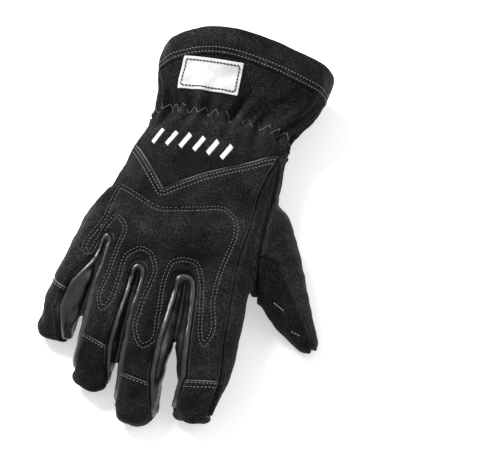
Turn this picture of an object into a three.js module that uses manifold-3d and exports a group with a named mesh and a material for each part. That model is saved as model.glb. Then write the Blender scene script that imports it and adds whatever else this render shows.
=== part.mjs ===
// A firefighter's work glove for the right hand, lying palm down on a flat surface.
// Sizes are in millimetres, +Z is up, the fingers point to -Y and the thumb lies at +X.
// The shapes are drawn from a point under the heel of the palm, and moved at the end.
//
// The glove is a hollow leather shell. It is lofted with straight fingers, cut into its sewn
// panels along seams drawn in plan, and then its fingers are curled down to the surface.

import * as THREE from "three";
import { mergeVertices } from "three/addons/utils/BufferGeometryUtils.js";
import Module from "manifold-3d";

const wasm = await Module();
wasm.setup();

// Driving sizes
const CUFF_LENGTH = 102; // origin to the cuff's rim, along the back
const PALM_LENGTH = 68; // origin to the forks of the long fingers
const PALM_WIDTH = 127; // across the knuckles
const WRIST_WIDTH = 94; // across the gathered wrist
const RIM_WIDTH = 119; // across the cuff's opening
const PALM_HEIGHT = 53; // the palm, from the surface to the back of the hand
const WRIST_HEIGHT = 47;
const RIM_HEIGHT = 62;
const RIM_CROWN = 9.5; // how far the rim's middle stands beyond its sides
const RIM_MEAN = 0.32; // the share of the crown that lies beyond CUFF_LENGTH
const RIM_LEAN = 4.5; // half of what the rim's thumb side lies beyond its other side
const RIM_SKEW = 8.5; // how much fuller the rim is on the little finger's side
const WALL = 2.6; // leather, barrier and thermal liner, bonded
const OVERLAY = 1.1; // sewn-on suede patches
const PATCH_INSET = 1.2; // from the palm patch's lower edge to the gussets
const HEEL_PATCH_TOP = 24;
const LABEL_THICKNESS = 0.8;
const SEAM_GAP = 0.3; // between panels that are sewn together
const BAND_WIDTH = 20; // the turned hem at the opening
const SIDE_SEAM_HEIGHT = 31; // where the back panels meet the palm panels
const FINGER_HEIGHT = 33; // centre line of the fingers where they leave the palm
const FINGER_THICKNESS = 29;
const THUMB_LENGTH = 117;
const THUMB_WIDTH = 52;
const THUMB_THICKNESS = 40;
const THUMB_LEAN = 38.4; // degrees from straight ahead, towards +X
const LABEL_WIDTH = 42;
const LABEL_DEPTH = 21.5;
const GATHER_DEPTH = 1.3; // puckers over the wrist elastic
const GATHER_COUNT = 8;
const ELASTIC_AT = 0.46; // along the cuff, as a share of its length
const ELASTIC_REACH = 0.13; // how far from the elastic the puckers fade out

// Corner fullness of the lofted sections; 2 is an ellipse
const SQUARENESS = 2.35;
const BODY_SIDES = 4 * GATHER_COUNT;
const FINGER_SIDES = 12;

// Each finger: where its centre line leaves the palm (x as a share of the palm's width, y of its
// length), its lean in degrees towards the thumb, its length, its width, how much narrower it is
// at the palm and at the tip, its thickness as a share of FINGER_THICKNESS, the edges of its back
// and palm panels as shares of half its width, and how far along it the cap and the pad begin.
const FINGERS = [
  { name: "little", x: -0.479, y: -0.735, lean: -6.5, length: 83, width: 26, root: 0.86, taper: 0.02,
    thick: 0.86, backFrom: -1.6, backTo: -0.1, palmFrom: -1.6, palmTo: 0.7, cap: 0.56, pad: 0.4 },
  { name: "ring", x: -0.286, y: -0.87, lean: 0.3, length: 100, width: 29, root: 0.9, taper: 0.04,
    thick: 0.94, backFrom: -0.67, backTo: 0.5, palmFrom: -0.72, palmTo: 0.72, cap: 0.67, pad: 0.41 },
  { name: "middle", x: -0.057, y: -0.98, lean: 3.7, length: 109, width: 33, root: 0.87, taper: 0.05,
    thick: 1, backFrom: -0.78, backTo: 0.42, palmFrom: -0.72, palmTo: 0.74, cap: 0.72, pad: 0.42 },
  { name: "index", x: 0.262, y: -0.98, lean: 4, length: 98.5, width: 41, root: 0.95, taper: 0.23,
    thick: 1.03, backFrom: -0.58, backTo: 0.52, palmFrom: -0.74, palmTo: 0.8, cap: 0.7, pad: 0.46 },
];

// The forks between neighbouring fingers, as shares of the palm's length
const FORKS = [{ y: -0.79 }, { y: -0.99 }, { y: -1.02 }];

// Sections of a finger, from inside the palm to its tip: along as a share of its length, then
// shares of its width and thickness.
const FINGER_SECTIONS = [
  { along: -0.34, width: 0.45, thick: 0.5 },
  { along: 0.0, width: 1.0, thick: 0.97 },
  { along: 0.25, width: 1.0, thick: 1.0 },
  { along: 0.52, width: 1.0, thick: 0.96 },
  { along: 0.78, width: 0.99, thick: 0.88 },
  { along: 0.92, width: 0.91, thick: 0.76 },
  { along: 0.98, width: 0.73, thick: 0.56 },
  { along: 1.0, width: 0.5, thick: 0.32 },
];
const CURL_POWER = 1.2; // how late along its length a finger bends
const FINGER_REST = { along: 0.9, thick: 0.77 }; // where a fingertip rests, and its thickness there
const REST_PRESS = 0.6; // how far the leather there is pressed flat

// Sections of the thumb: along as a share of its length, its height above the surface as a share
// of THUMB_THICKNESS, then shares of its width and thickness.
const THUMB_START = { x: 0.236, y: -0.044 };
const THUMB_RIDGE = [{ share: 0.5, aside: 0.05 }, { share: 0.68, aside: 0.06 }, { share: 0.85, aside: 0.05 },
  { share: 1.06, aside: 0.02 }];
const THUMB_SECTIONS = [
  { along: 0.0, height: 0.64, width: 0.6, thick: 0.7 },
  { along: 0.2, height: 0.62, width: 0.93, thick: 1.0 },
  { along: 0.38, height: 0.56, width: 0.87, thick: 0.95 },
  { along: 0.58, height: 0.45, width: 0.71, thick: 0.83 },
  { along: 0.78, height: 0.32, width: 0.5, thick: 0.66 },
  { along: 0.92, height: 0.25, width: 0.37, thick: 0.51 },
  { along: 0.98, height: 0.23, width: 0.25, thick: 0.36 },
  { along: 1.0, height: 0.22, width: 0.13, thick: 0.2 },
];

// Sections of the cuff and the palm: along as a share of CUFF_LENGTH (positive) or PALM_LENGTH
// (negative), the centre as a share of PALM_WIDTH, the width blended between the wrist's and the
// rim's or the palm's, the top and underside as shares of the height there, and 1 where a patch
// lies between the panel and the surface.
const BODY_SECTIONS = [
  { along: 1.0, centre: 0.075, widen: 1.0, top: 1.0, under: -0.03, patched: 0 },
  { along: 0.84, centre: 0.073, widen: 0.97, top: 0.98, under: -0.03, patched: 0 },
  { along: 0.7, centre: 0.066, widen: 0.72, top: 0.96, under: -0.01, patched: 0 },
  { along: 0.57, centre: 0.047, widen: 0.28, top: 0.98, under: 0.01, patched: 0 },
  { along: 0.46, centre: 0.033, widen: 0.0, top: 0.97, under: 0.03, patched: 0 },
  { along: 0.34, centre: 0.027, widen: 0.08, top: 1.0, under: 0.01, patched: 1 },
  { along: 0.15, centre: 0.014, widen: 0.36, top: 1.0, under: -0.03, patched: 1 },
  { along: -0.06, centre: 0.0, widen: 0.6, top: 1.0, under: -0.04, patched: 1 },
  { along: -0.36, centre: -0.015, widen: 0.75, top: 0.985, under: 0.02, patched: 1 },
  { along: -0.64, centre: -0.03, widen: 0.84, top: 0.955, under: 0.13, patched: 1 },
  { along: -0.88, centre: -0.052, widen: 0.93, top: 0.905, under: 0.26, patched: 1 },
  { along: -0.985, centre: -0.057, widen: 0.93, top: 0.81, under: 0.36, patched: 1 },
  { along: -1.03, centre: -0.06, widen: 0.9, top: 0.66, under: 0.48, patched: 1 },
];
// Where the height grows from the wrist's to the rim's, and from the wrist's to the palm's
const CUFF_FLARE = { from: 0.46, to: 0.95 };
const PALM_RISE = { from: 0.4, to: -0.1 };
const RIM_CURVE = { from: 0.5, to: 1 }; // where the sections start to follow the rim's line
const KNUCKLE_CURVE = { from: 0.1, to: 0.95 }; // and the step of the knuckles
const KNUCKLE_STEP = { from: -0.17, to: -0.42, shift: 0.25 }; // the little finger's fork lies back

// Seams and patches in plan, as shares of the half palm width (x) and of the cuff length or palm
// length (y), the side that y's sign says.
const YOKE_EDGE = [[-1.3, 0.55], [-0.84, 0.2], [-0.32, -0.27], [0.02, -0.03], [0.4, 0.125],
  [0.76, 0.31], [1.3, 0.56]];
const HEEL_EDGE = [[-1.3, 0.42], [0, 0.36], [1.3, 0.42]];
const INDEX_SIDE_EDGE = [[0.76, 0.31], [0.69, 0.03], [0.68, -0.41], [0.665, -0.9]];
const THUMB_EDGE = [[0.76, 0.33], [0.83, 0.01], [0.85, -0.43], [0.86, -0.66]];
const THENAR_EDGE = [[-0.08, 0.35], [0.0, 0.1], [0.16, -0.2], [0.42, -0.55], [0.72, -0.8]];
const THUMB_FORK = [0.9, -0.93];
const PALM_PATCH_TOP = [[-1.3, -0.34], [-0.6, -0.44], [0.1, -0.52], [0.62, -0.59]];
const HEEL_PATCH = [[-1.1, 0.3], [-0.5, 0.3], [-0.4, 0.25], [-0.37, 0.15], [-0.4, 0.06], [-0.52, 0.02],
  [-1.1, 0.0]];
const LABEL_CENTRE = [-0.175, 0.698];
const LABEL_TURN = 3; // degrees

// Folds pressed into the leather: end points in plan as in the seams above, half width and depth
// in millimetres, on the back or on the palm.
const FOLDS = [
  { face: "palm", from: [-0.06, 0.34], to: [0.02, -0.08], reach: 4, depth: 1.5 },
  { face: "palm", from: [0.02, 0.33], to: [0.22, -0.22], reach: 4, depth: 1.5 },
  { face: "back", from: [0.8, 0.62], to: [0.1, 0.44], reach: 6, depth: 1.8 },
  { face: "back", from: [-0.7, 0.5], to: [-0.1, 0.42], reach: 5, depth: 1.1 },
];

const BLACK_SUEDE = 0x1d1d1f;
const BLACK_GRAIN = 0x17171a;
const LABEL_WHITE = 0xeeeeec;

const materials = {
  suede: new THREE.MeshStandardMaterial({ color: BLACK_SUEDE, roughness: 0.95, metalness: 0 }),
  grain: new THREE.MeshStandardMaterial({ color: BLACK_GRAIN, roughness: 0.38, metalness: 0 }),
  label: new THREE.MeshStandardMaterial({ color: LABEL_WHITE, roughness: 0.7, metalness: 0 }),
};

const radians = THREE.MathUtils.degToRad;
const smooth = (value, from, to) => {
  const t = THREE.MathUtils.clamp((value - from) / (to - from), 0, 1);
  return t * t * (3 - 2 * t);
};
const mix = THREE.MathUtils.lerp;

// A seam's point in plan, from shares to millimetres.
function plan([x, y]) {
  return [x * PALM_WIDTH / 2, y * (y > 0 ? CUFF_LENGTH : PALM_LENGTH)];
}

// How far the rim lies beyond CUFF_LENGTH, by a share of half its width.
const rimReach = (aside) => RIM_LEAN * aside + RIM_CROWN * (RIM_MEAN - aside ** 2)
  - RIM_SKEW * (aside - aside ** 3);

// The finger's frame in plan: a point that lies so far along it and so far across it.
function fingerFrame(finger) {
  const lean = radians(finger.lean);
  const base = [finger.x * PALM_WIDTH, -Math.abs(finger.y) * PALM_LENGTH];
  const ahead = [Math.sin(lean), -Math.cos(lean)];
  const across = [Math.cos(lean), Math.sin(lean)];
  const at = (along, aside) => [
    base[0] + ahead[0] * along + across[0] * aside,
    base[1] + ahead[1] * along + across[1] * aside,
  ];
  return { base, ahead, across, at };
}

// How far a point on the back or palm is pressed in by the folds and the wrist's gathers.
function pressedIn(x, y, turn) {
  const face = Math.sin(turn) > 0 ? "back" : "palm";
  const sideways = Math.abs(Math.sin(turn));
  let depth = 0;
  for (const fold of FOLDS) {
    if (fold.face !== face) continue;
    const [ax, ay] = plan(fold.from);
    const [bx, by] = plan(fold.to);
    const length2 = (bx - ax) ** 2 + (by - ay) ** 2;
    const along = THREE.MathUtils.clamp(((x - ax) * (bx - ax) + (y - ay) * (by - ay)) / length2, 0, 1);
    const away = Math.hypot(x - mix(ax, bx, along), y - mix(ay, by, along));
    const fading = Math.exp(-((away / fold.reach) ** 2)) * Math.sqrt(Math.sin(Math.PI * along));
    depth += fold.depth * sideways * fading;
  }
  const fromElastic = (y / CUFF_LENGTH - ELASTIC_AT) / ELASTIC_REACH;
  const gather = Math.exp(-(fromElastic ** 2));
  return depth + GATHER_DEPTH * gather * (0.5 + 0.5 * Math.cos(GATHER_COUNT * turn));
}

// One ring of points round a section: half the width, and the reach up and down from its centre.
// Where its underside would reach below the surface, or leave no room for a patch of the given
// thickness, the leather there is pushed up as it rests.
function ringOf({ centre, side, halfWidth, up, down, sides, place, patch = 0 }, grow) {
  const ring = [];
  for (let i = 0; i < sides; i += 1) {
    const turn = (2 * Math.PI * i) / sides;
    const c = Math.cos(turn);
    const s = Math.sin(turn);
    const across = Math.sign(c) * Math.abs(c) ** (2 / SQUARENESS) * (halfWidth + grow);
    const steep = Math.sign(s) * Math.abs(s) ** (2 / SQUARENESS);
    const pushedUp = s < 0 ? Math.max(0, -(centre.z + steep * (down + patch))) : 0;
    const high = steep * ((s > 0 ? up : down) + grow) + pushedUp;
    const point = new THREE.Vector3(
      centre.x + side[0] * across,
      centre.y + side[1] * across,
      centre.z + high,
    );
    ring.push(place ? place(point, turn) : point);
  }
  return ring;
}

// A closed solid through rings of equally many points, with a flat fan at each end.
function loft(rings) {
  const sides = rings[0].length;
  const positions = rings.flat().flatMap((p) => [p.x, p.y, p.z]);
  const index = [];
  for (let r = 0; r + 1 < rings.length; r += 1) {
    for (let i = 0; i < sides; i += 1) {
      const a = r * sides + i;
      const b = r * sides + ((i + 1) % sides);
      index.push(a, b, a + sides, b, b + sides, a + sides);
    }
  }
  for (const [ring, first, facing] of [[rings[0], 0, 1], [rings.at(-1), (rings.length - 1) * sides, -1]]) {
    const middle = ring.reduce((sum, p) => sum.add(p), new THREE.Vector3()).divideScalar(sides);
    const hub = positions.length / 3;
    positions.push(middle.x, middle.y, middle.z);
    for (let i = 0; i < sides; i += 1) {
      const next = first + ((i + 1) % sides);
      if (facing > 0) index.push(hub, next, first + i);
      else index.push(hub, first + i, next);
    }
  }
  const geometry = new THREE.BufferGeometry();
  geometry.setAttribute("position", new THREE.Float32BufferAttribute(positions, 3));
  geometry.setIndex(index);
  return solidOf(geometry);
}

// A closed geometry as a solid that can be joined and cut.
function solidOf(geometry) {
  geometry.deleteAttribute("normal");
  geometry.deleteAttribute("uv");
  const merged = mergeVertices(geometry, 1e-4);
  return new wasm.Manifold(new wasm.Mesh({
    numProp: 3,
    vertProperties: new Float32Array(merged.attributes.position.array),
    triVerts: new Uint32Array(merged.index.array),
  }));
}

// An upright prism over an outline in plan.
function prism(outline, from, to) {
  const shape = new THREE.Shape(outline.map(([x, y]) => new THREE.Vector2(x, y)));
  const geometry = new THREE.ExtrudeGeometry(shape, { depth: to - from, bevelEnabled: false });
  geometry.translate(0, 0, from);
  return solidOf(geometry);
}

// The outline moved outwards by a distance, corner by corner.
function widened(outline, by) {
  const area = THREE.ShapeUtils.area(outline.map(([x, y]) => new THREE.Vector2(x, y)));
  const out = Math.sign(area);
  const count = outline.length;
  return outline.map(([x, y], i) => {
    const [px, py] = outline[(i + count - 1) % count];
    const [nx, ny] = outline[(i + 1) % count];
    const before = new THREE.Vector2(x - px, y - py).normalize();
    const after = new THREE.Vector2(nx - x, ny - y).normalize();
    const normal = new THREE.Vector2(before.y + after.y, -before.x - after.x).normalize();
    const spread = Math.max(0.35, normal.dot(new THREE.Vector2(after.y, -after.x)));
    return [x + (normal.x * out * by) / spread, y + (normal.y * out * by) / spread];
  });
}

const joined = (solids) => solids.reduce((all, solid) => all.add(solid));
const FAR = 400; // well past the glove on every side
const LOW = -60;
const HIGH = 120;

// The shell's lofted forms, grown or shrunk by a distance from the outer surface
const PAST_RIM = 0.2; // how far the hollow is cut past the rim, as a share of CUFF_LENGTH
function bodyForm(grow) {
  const open = grow < 0; // the hollow runs out through the rim
  const rings = [];
  const rows = BODY_SECTIONS.map((row) => ({ ...row }));
  if (open) rows.unshift({ ...rows[0], along: rows[0].along + PAST_RIM });
  rows.forEach((row, i) => {
    const cuff = row.along > 0;
    const last = i === rows.length - 1;
    const y = row.along * (cuff ? CUFF_LENGTH : PALM_LENGTH) - (last ? grow : 0);
    const flare = smooth(row.along, CUFF_FLARE.from, CUFF_FLARE.to);
    const palmShare = smooth(row.along, PALM_RISE.from, PALM_RISE.to);
    const height = row.along > CUFF_FLARE.from
      ? mix(WRIST_HEIGHT, RIM_HEIGHT, flare)
      : mix(WRIST_HEIGHT, PALM_HEIGHT, palmShare);
    const wide = row.along > CUFF_FLARE.from ? RIM_WIDTH : PALM_WIDTH;
    const top = row.top * height;
    const under = row.under * height;
    const centre = new THREE.Vector3(row.centre * PALM_WIDTH, y, (top + under) / 2);
    const reach = (top - under) / 2;
    const patch = row.patched * (SEAM_GAP + OVERLAY);
    const halfWidth = mix(WRIST_WIDTH, wide, row.widen) / 2;
    const place = (point, turn) => {
      const aside = (point.x - centre.x) / halfWidth;
      const rimShare = smooth(row.along, RIM_CURVE.from, RIM_CURVE.to);
      const step = smooth(point.x / PALM_WIDTH, KNUCKLE_STEP.from, KNUCKLE_STEP.to);
      const lie = smooth(-row.along, KNUCKLE_CURVE.from, KNUCKLE_CURVE.to);
      point.z -= Math.sin(turn) * pressedIn(point.x, point.y, turn);
      point.y += rimShare * rimReach(aside);
      point.y += lie * step * KNUCKLE_STEP.shift * PALM_LENGTH;
      return point;
    };
    rings.push(ringOf(
      { centre, side: [1, 0], halfWidth, up: reach, down: reach, sides: BODY_SIDES, place, patch },
      grow,
    ));
  });
  return loft(rings);
}

// Half a finger's width along its length, before its tip rounds off
const FINGER_OPENS = 0.45; // by this share of its length it has its full width
const FINGER_TAPERS = 0.4; // from here on it narrows
function halfWidthAt(finger, share) {
  const opened = mix(finger.root, 1, smooth(share, 0, FINGER_OPENS));
  const tapered = 1 - finger.taper * smooth(share, FINGER_TAPERS, 1);
  return (finger.width / 2) * opened * tapered;
}

function fingerForm(finger, grow) {
  const frame = fingerFrame(finger);
  const rings = FINGER_SECTIONS.map((row, i) => {
    const tipward = i >= FINGER_SECTIONS.length - 3 ? grow : 0;
    const [x, y] = frame.at(row.along * finger.length + tipward, 0);
    const half = (row.thick * finger.thick * FINGER_THICKNESS) / 2;
    return ringOf({
      centre: new THREE.Vector3(x, y, FINGER_HEIGHT),
      side: frame.across,
      halfWidth: row.width * halfWidthAt(finger, row.along),
      up: half,
      down: half,
      sides: FINGER_SIDES,
    }, grow);
  });
  return loft(rings);
}

const thumb = {
  start: [THUMB_START.x * PALM_WIDTH, THUMB_START.y * PALM_LENGTH],
  ahead: [Math.sin(radians(THUMB_LEAN)), -Math.cos(radians(THUMB_LEAN))],
  across: [Math.cos(radians(THUMB_LEAN)), Math.sin(radians(THUMB_LEAN))],
};
const thumbAt = (share, aside = 0) => [
  thumb.start[0] + thumb.ahead[0] * share * THUMB_LENGTH + thumb.across[0] * aside,
  thumb.start[1] + thumb.ahead[1] * share * THUMB_LENGTH + thumb.across[1] * aside,
];

function thumbForm(grow) {
  const rings = THUMB_SECTIONS.map((row, i) => {
    const tipward = i >= THUMB_SECTIONS.length - 3 ? grow / THUMB_LENGTH : 0;
    const [x, y] = thumbAt(row.along + tipward);
    const half = (row.thick * THUMB_THICKNESS) / 2;
    return ringOf({
      centre: new THREE.Vector3(x, y, row.height * THUMB_THICKNESS),
      side: thumb.across,
      halfWidth: (row.width * THUMB_WIDTH) / 2,
      up: half,
      down: half,
      sides: FINGER_SIDES,
    }, grow);
  });
  return loft(rings);
}

const gloveForm = (grow) => joined([
  bodyForm(grow),
  thumbForm(grow),
  ...FINGERS.map((finger) => fingerForm(finger, grow)),
]);

// Outlines in plan

// The share of a finger's length at which its centre line reaches a given y.
function shareAt(finger, y) {
  const { base, ahead } = fingerFrame(finger);
  return (y - base[1]) / ahead[1] / finger.length;
}

// The point beside a finger's centre line, by a share of half its width.
const beside = (finger, share, aside) => fingerFrame(finger).at(
  share * finger.length,
  aside * halfWidthAt(finger, share),
);

// A back or palm panel's edge along a finger starts at the fork and settles on its own line.
const EDGE_START = 0.9;
const EDGE_SETTLES = 0.35;
const EDGE_STEPS = [0, 0.18, 0.38, 0.68, 1];
const FORK_DROP = 5; // from the fork's centre to where the edges begin
const FORK_REACH = 3.6; // how far a fourchette reaches back over the fork
const FORK_SPREAD = 4.4; // and how far it reaches past the sides of the two fingers there
const FORK_STEPS = 5;
const FOURCHETTE_END = 0.88;

function panelEdge(finger, side, settled, from) {
  return EDGE_STEPS.map((step) => {
    const share = mix(from, FOURCHETTE_END, step);
    const aside = mix(side * EDGE_START, settled, smooth(share, from, from + EDGE_SETTLES));
    return beside(finger, share, aside);
  });
}

// A gusset's rounded end on a finger, from the panel's edge out to the finger's side.
function gussetEnd(finger, side, settled) {
  return [
    beside(finger, FOURCHETTE_END + 0.03, mix(settled, side, 0.3)),
    beside(finger, FOURCHETTE_END + 0.045, side * 1.06),
  ];
}

// The gusset between two neighbouring fingers, as it shows on the back or on the palm.
function fourchetteOutline(i, face) {
  const left = FINGERS[i];
  const right = FINGERS[i + 1];
  const y = FORKS[i].y * PALM_LENGTH;
  const [leftX] = beside(left, shareAt(left, y), 1);
  const [rightX] = beside(right, shareAt(right, y), -1);
  const half = (rightX - leftX) / 2 + FORK_SPREAD;
  const over = Array.from({ length: FORK_STEPS }, (_, step) => {
    const turn = Math.PI * (1 - step / (FORK_STEPS - 1));
    return [(leftX + rightX) / 2 + half * Math.cos(turn), y + FORK_REACH * Math.sin(turn)];
  });
  const leftEdge = face === "back" ? left.backTo : left.palmTo;
  const rightEdge = face === "back" ? right.backFrom : right.palmFrom;
  return [
    ...over,
    ...panelEdge(right, -1, rightEdge, shareAt(right, y - FORK_DROP)),
    ...gussetEnd(right, -1, rightEdge),
    ...gussetEnd(left, 1, leftEdge).reverse(),
    ...panelEdge(left, 1, leftEdge, shareAt(left, y - FORK_DROP)).reverse(),
  ];
}

// The stretch of one finger from a share of its length to past its tip.
const PAST_TIP = 12; // millimetres beyond the fingertip
function tipOutline(finger, from) {
  const past = 1 + PAST_TIP / finger.length;
  return [
    beside(finger, from, -1.12),
    beside(finger, past, -1.3),
    beside(finger, past, 1.3),
    beside(finger, from, 1.12),
  ];
}

// Everything on one side of an edge that crosses the glove, out to a line at y.
const beyond = (edge, y) => [...edge, [FAR, edge.at(-1)[1]], [FAR, y], [-FAR, y], [-FAR, edge[0][1]]];

// The rim's line, moved towards the fingers by a distance.
function rimLine(back) {
  const { centre } = BODY_SECTIONS[0];
  return [-1.2, -0.8, -0.4, 0, 0.4, 0.8, 1.2].map((aside) => [
    centre * PALM_WIDTH + (aside * RIM_WIDTH) / 2,
    CUFF_LENGTH - back + rimReach(aside),
  ]);
}

const index = FINGERS[3];
const thumbFork = plan(THUMB_FORK);
const thumbEdge = THUMB_EDGE.map(plan);
const thumbRidge = THUMB_RIDGE.map(({ share, aside }) => thumbAt(share, aside * THUMB_WIDTH));
const wristLine = 0.6 * CUFF_LENGTH; // past every seam that crosses the wrist
const clearOfIndex = [beside(index, 0.5, 1.25), [beside(index, 1, 1.4)[0], -FAR]];

// The suede strip on the thumb side of the index finger widens towards the fingertip's back.
const SIDE_STRIP_ON_FINGER = [0.12, 0.4, 0.68];
const SIDE_STRIP_AT_TIP = 0.74; // its edge there, as a share of half the width
const sideStripAside = (share) => mix(index.backTo, SIDE_STRIP_AT_TIP, smooth(share, 0.3, 0.8));
const sideStripEnd = [
  beside(index, FOURCHETTE_END + 0.045, 1.06),
  beside(index, 0.5, 1.16),
];
const sideStripBack = [
  ...INDEX_SIDE_EDGE.map(plan),
  ...SIDE_STRIP_ON_FINGER.map((share) => beside(index, share, sideStripAside(share))),
  beside(index, FOURCHETTE_END, 0.82),
  ...sideStripEnd,
  thumbFork,
  ...thumbEdge.slice().reverse(),
];
const sideStripPalm = [
  ...[-0.08, 0.4, FOURCHETTE_END].map((share) => beside(index, share, index.palmTo)),
  ...sideStripEnd,
  beside(index, -0.08, 1.2),
];

// The thumb's two panels, either side of the seam along its ridge
const thumbOuter = [
  [thumbEdge[0][0], wristLine],
  ...thumbEdge,
  ...thumbRidge,
  [FAR, thumbRidge.at(-1)[1]],
  [FAR, wristLine],
];
const thumbInnerBack = [
  thumbEdge.at(-1),
  ...thumbRidge,
  [thumbRidge.at(-1)[0] - 8, -FAR],
  ...clearOfIndex.slice().reverse(),
  thumbFork,
];
const thumbInnerPalm = [
  [plan(THENAR_EDGE[0])[0], wristLine],
  ...THENAR_EDGE.map(plan),
  thumbFork,
  ...clearOfIndex,
  [thumbRidge.at(-1)[0] - 8, -FAR],
  ...thumbRidge.slice().reverse(),
  ...thumbEdge.slice().reverse(),
  [thumbEdge[0][0], wristLine],
];

// The patch over the palm side of the knuckles runs down onto each finger's root.
const PATCH_ON_FINGER = 0.06;
const palmPatchOutline = [
  ...PALM_PATCH_TOP.map(plan),
  beside(index, -0.12, 0.95),
  ...FINGERS.slice().reverse().flatMap((finger) => [
    beside(finger, PATCH_ON_FINGER, 0.85),
    beside(finger, PATCH_ON_FINGER, -0.85),
  ]),
  beside(FINGERS[0], 0, -1.4),
];

const labelOutline = [[-1, -1], [1, -1], [1, 1], [-1, 1]].map(([sx, sy]) => {
  const [x, y] = [(sx * LABEL_WIDTH) / 2, (sy * LABEL_DEPTH) / 2];
  const turn = radians(LABEL_TURN);
  const [cx, cy] = plan(LABEL_CENTRE);
  return [cx + x * Math.cos(turn) - y * Math.sin(turn), cy + x * Math.sin(turn) + y * Math.cos(turn)];
});

// Cutting the shell into its panels

const fullHeight = (outline, by = 0) => prism(widened(outline, by), LOW, HIGH);

// One outline above the side seam and another below it, made into one piece that laps the seam
function bothHalves(back, palm, by = 0) {
  const lap = SEAM_GAP / 2 + by;
  return prism(widened(back, by), SIDE_SEAM_HEIGHT - lap, HIGH)
    .add(prism(widened(palm, by), LOW, SIDE_SEAM_HEIGHT + lap));
}

const everywhere = [[-FAR, -FAR], [FAR, -FAR], [FAR, FAR], [-FAR, FAR]];
const aboveSeam = prism(everywhere, SIDE_SEAM_HEIGHT + SEAM_GAP / 2, HIGH);
const belowSeam = prism(everywhere, LOW, SIDE_SEAM_HEIGHT - SEAM_GAP / 2);
const shell = gloveForm(0).subtract(gloveForm(-WALL));

const shifted = (edge, by) => edge.map(([x, y]) => [x, y + by]);
const yokeEdge = YOKE_EDGE.map(plan);
const heelEdge = HEEL_EDGE.map(plan);
const wristShell = shell.intersect(fullHeight(beyond(rimLine(BAND_WIDTH + SEAM_GAP), -FAR)));
const handShell = shell.subtract(
  bothHalves(beyond(shifted(yokeEdge, -1.4 * SEAM_GAP), FAR), beyond(shifted(heelEdge, -SEAM_GAP), FAR)),
);

const forks = FORKS.map((_, i) => ({
  name: `fourchette_${FINGERS[i].name}_${FINGERS[i + 1].name}`,
  region: (by = 0) => bothHalves(fourchetteOutline(i, "back"), fourchetteOutline(i, "palm"), by),
}));
const forkRegion = (by) => joined(forks.map((fork) => fork.region(by)));
const sideStripRegion = (by = 0) => bothHalves(sideStripBack, sideStripPalm, by);
const thumbInnerRegion = (by = 0) => bothHalves(thumbInnerBack, thumbInnerPalm, by);
const thumbOuterRegion = (by = 0) => fullHeight(thumbOuter, by);
const thumbRegion = (by) => thumbInnerRegion(by).add(thumbOuterRegion(by));
const tipRegion = (from, by) => joined(FINGERS.map((f) => fullHeight(tipOutline(f, f[from]), by)));

const handPanels = handShell
  .subtract(forkRegion(SEAM_GAP))
  .subtract(sideStripRegion(SEAM_GAP))
  .subtract(thumbRegion(SEAM_GAP));

// Sewn-on patches lie on the panels.
const layerOver = (thickness) => gloveForm(SEAM_GAP + thickness).subtract(gloveForm(SEAM_GAP));
const patchLayer = layerOver(OVERLAY);
const patchRegion = prism(palmPatchOutline, LOW, SIDE_SEAM_HEIGHT - SEAM_GAP / 2)
  .subtract(forkRegion(PATCH_INSET))
  .subtract(sideStripRegion(SEAM_GAP))
  .subtract(thumbRegion(SEAM_GAP));
const heelPatchOutline = HEEL_PATCH.map(plan);

// Bending the straight-fingered shell into the pose in which it lies

const CURL_STEPS = 12;

// How far a finger's centre line has run ahead and dropped, and its slope, at a length along it.
function curlAt(finger, along) {
  const restHalf = (FINGER_REST.thick * finger.thick * FINGER_THICKNESS) / 2;
  const drop = (FINGER_HEIGHT + REST_PRESS - restHalf) / FINGER_REST.along ** (CURL_POWER + 1);
  const endSlope = (drop * (CURL_POWER + 1)) / finger.length;
  let ahead = 0;
  let down = 0;
  for (let i = 0; i < CURL_STEPS; i += 1) {
    const middle = ((i + 0.5) / CURL_STEPS) * along;
    const slope = endSlope * (Math.max(0, middle) / finger.length) ** CURL_POWER;
    ahead += (Math.cos(slope) * along) / CURL_STEPS;
    down += (Math.sin(slope) * along) / CURL_STEPS;
  }
  return { ahead, down, slope: endSlope * (Math.max(0, along) / finger.length) ** CURL_POWER };
}

const WEB_BLEND = 5; // how gently the web between two fingers goes from one's bend to the other's
function curled(point) {
  const sum = new THREE.Vector3();
  let weights = 0;
  for (const finger of FINGERS) {
    const { base, ahead, across } = fingerFrame(finger);
    const dx = point.x - base[0];
    const dy = point.y - base[1];
    const along = dx * ahead[0] + dy * ahead[1];
    const aside = dx * across[0] + dy * across[1];
    const past = Math.max(0, Math.abs(aside) - finger.width / 2);
    const weight = Math.exp(-((past / WEB_BLEND) ** 2)) + 1e-9;
    const moved = point.clone();
    if (along > 0) {
      const bend = curlAt(finger, along);
      const high = point.z - FINGER_HEIGHT;
      const reach = bend.ahead + high * Math.sin(bend.slope);
      moved.set(
        base[0] + ahead[0] * reach + across[0] * aside,
        base[1] + ahead[1] * reach + across[1] * aside,
        FINGER_HEIGHT - bend.down + high * Math.cos(bend.slope),
      );
    }
    sum.addScaledVector(moved, weight);
    weights += weight;
  }
  return sum.divideScalar(weights);
}

// Leather that would reach below the surface lies flat on it.
const rested = (point) => point.setZ(Math.max(0, point.z));

// The panel itself, without the slivers that its seams cut off.
const mainBody = (solid) => solid.decompose().reduce((a, b) => (b.volume() > a.volume() ? b : a));

const glove = new THREE.Group();

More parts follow.
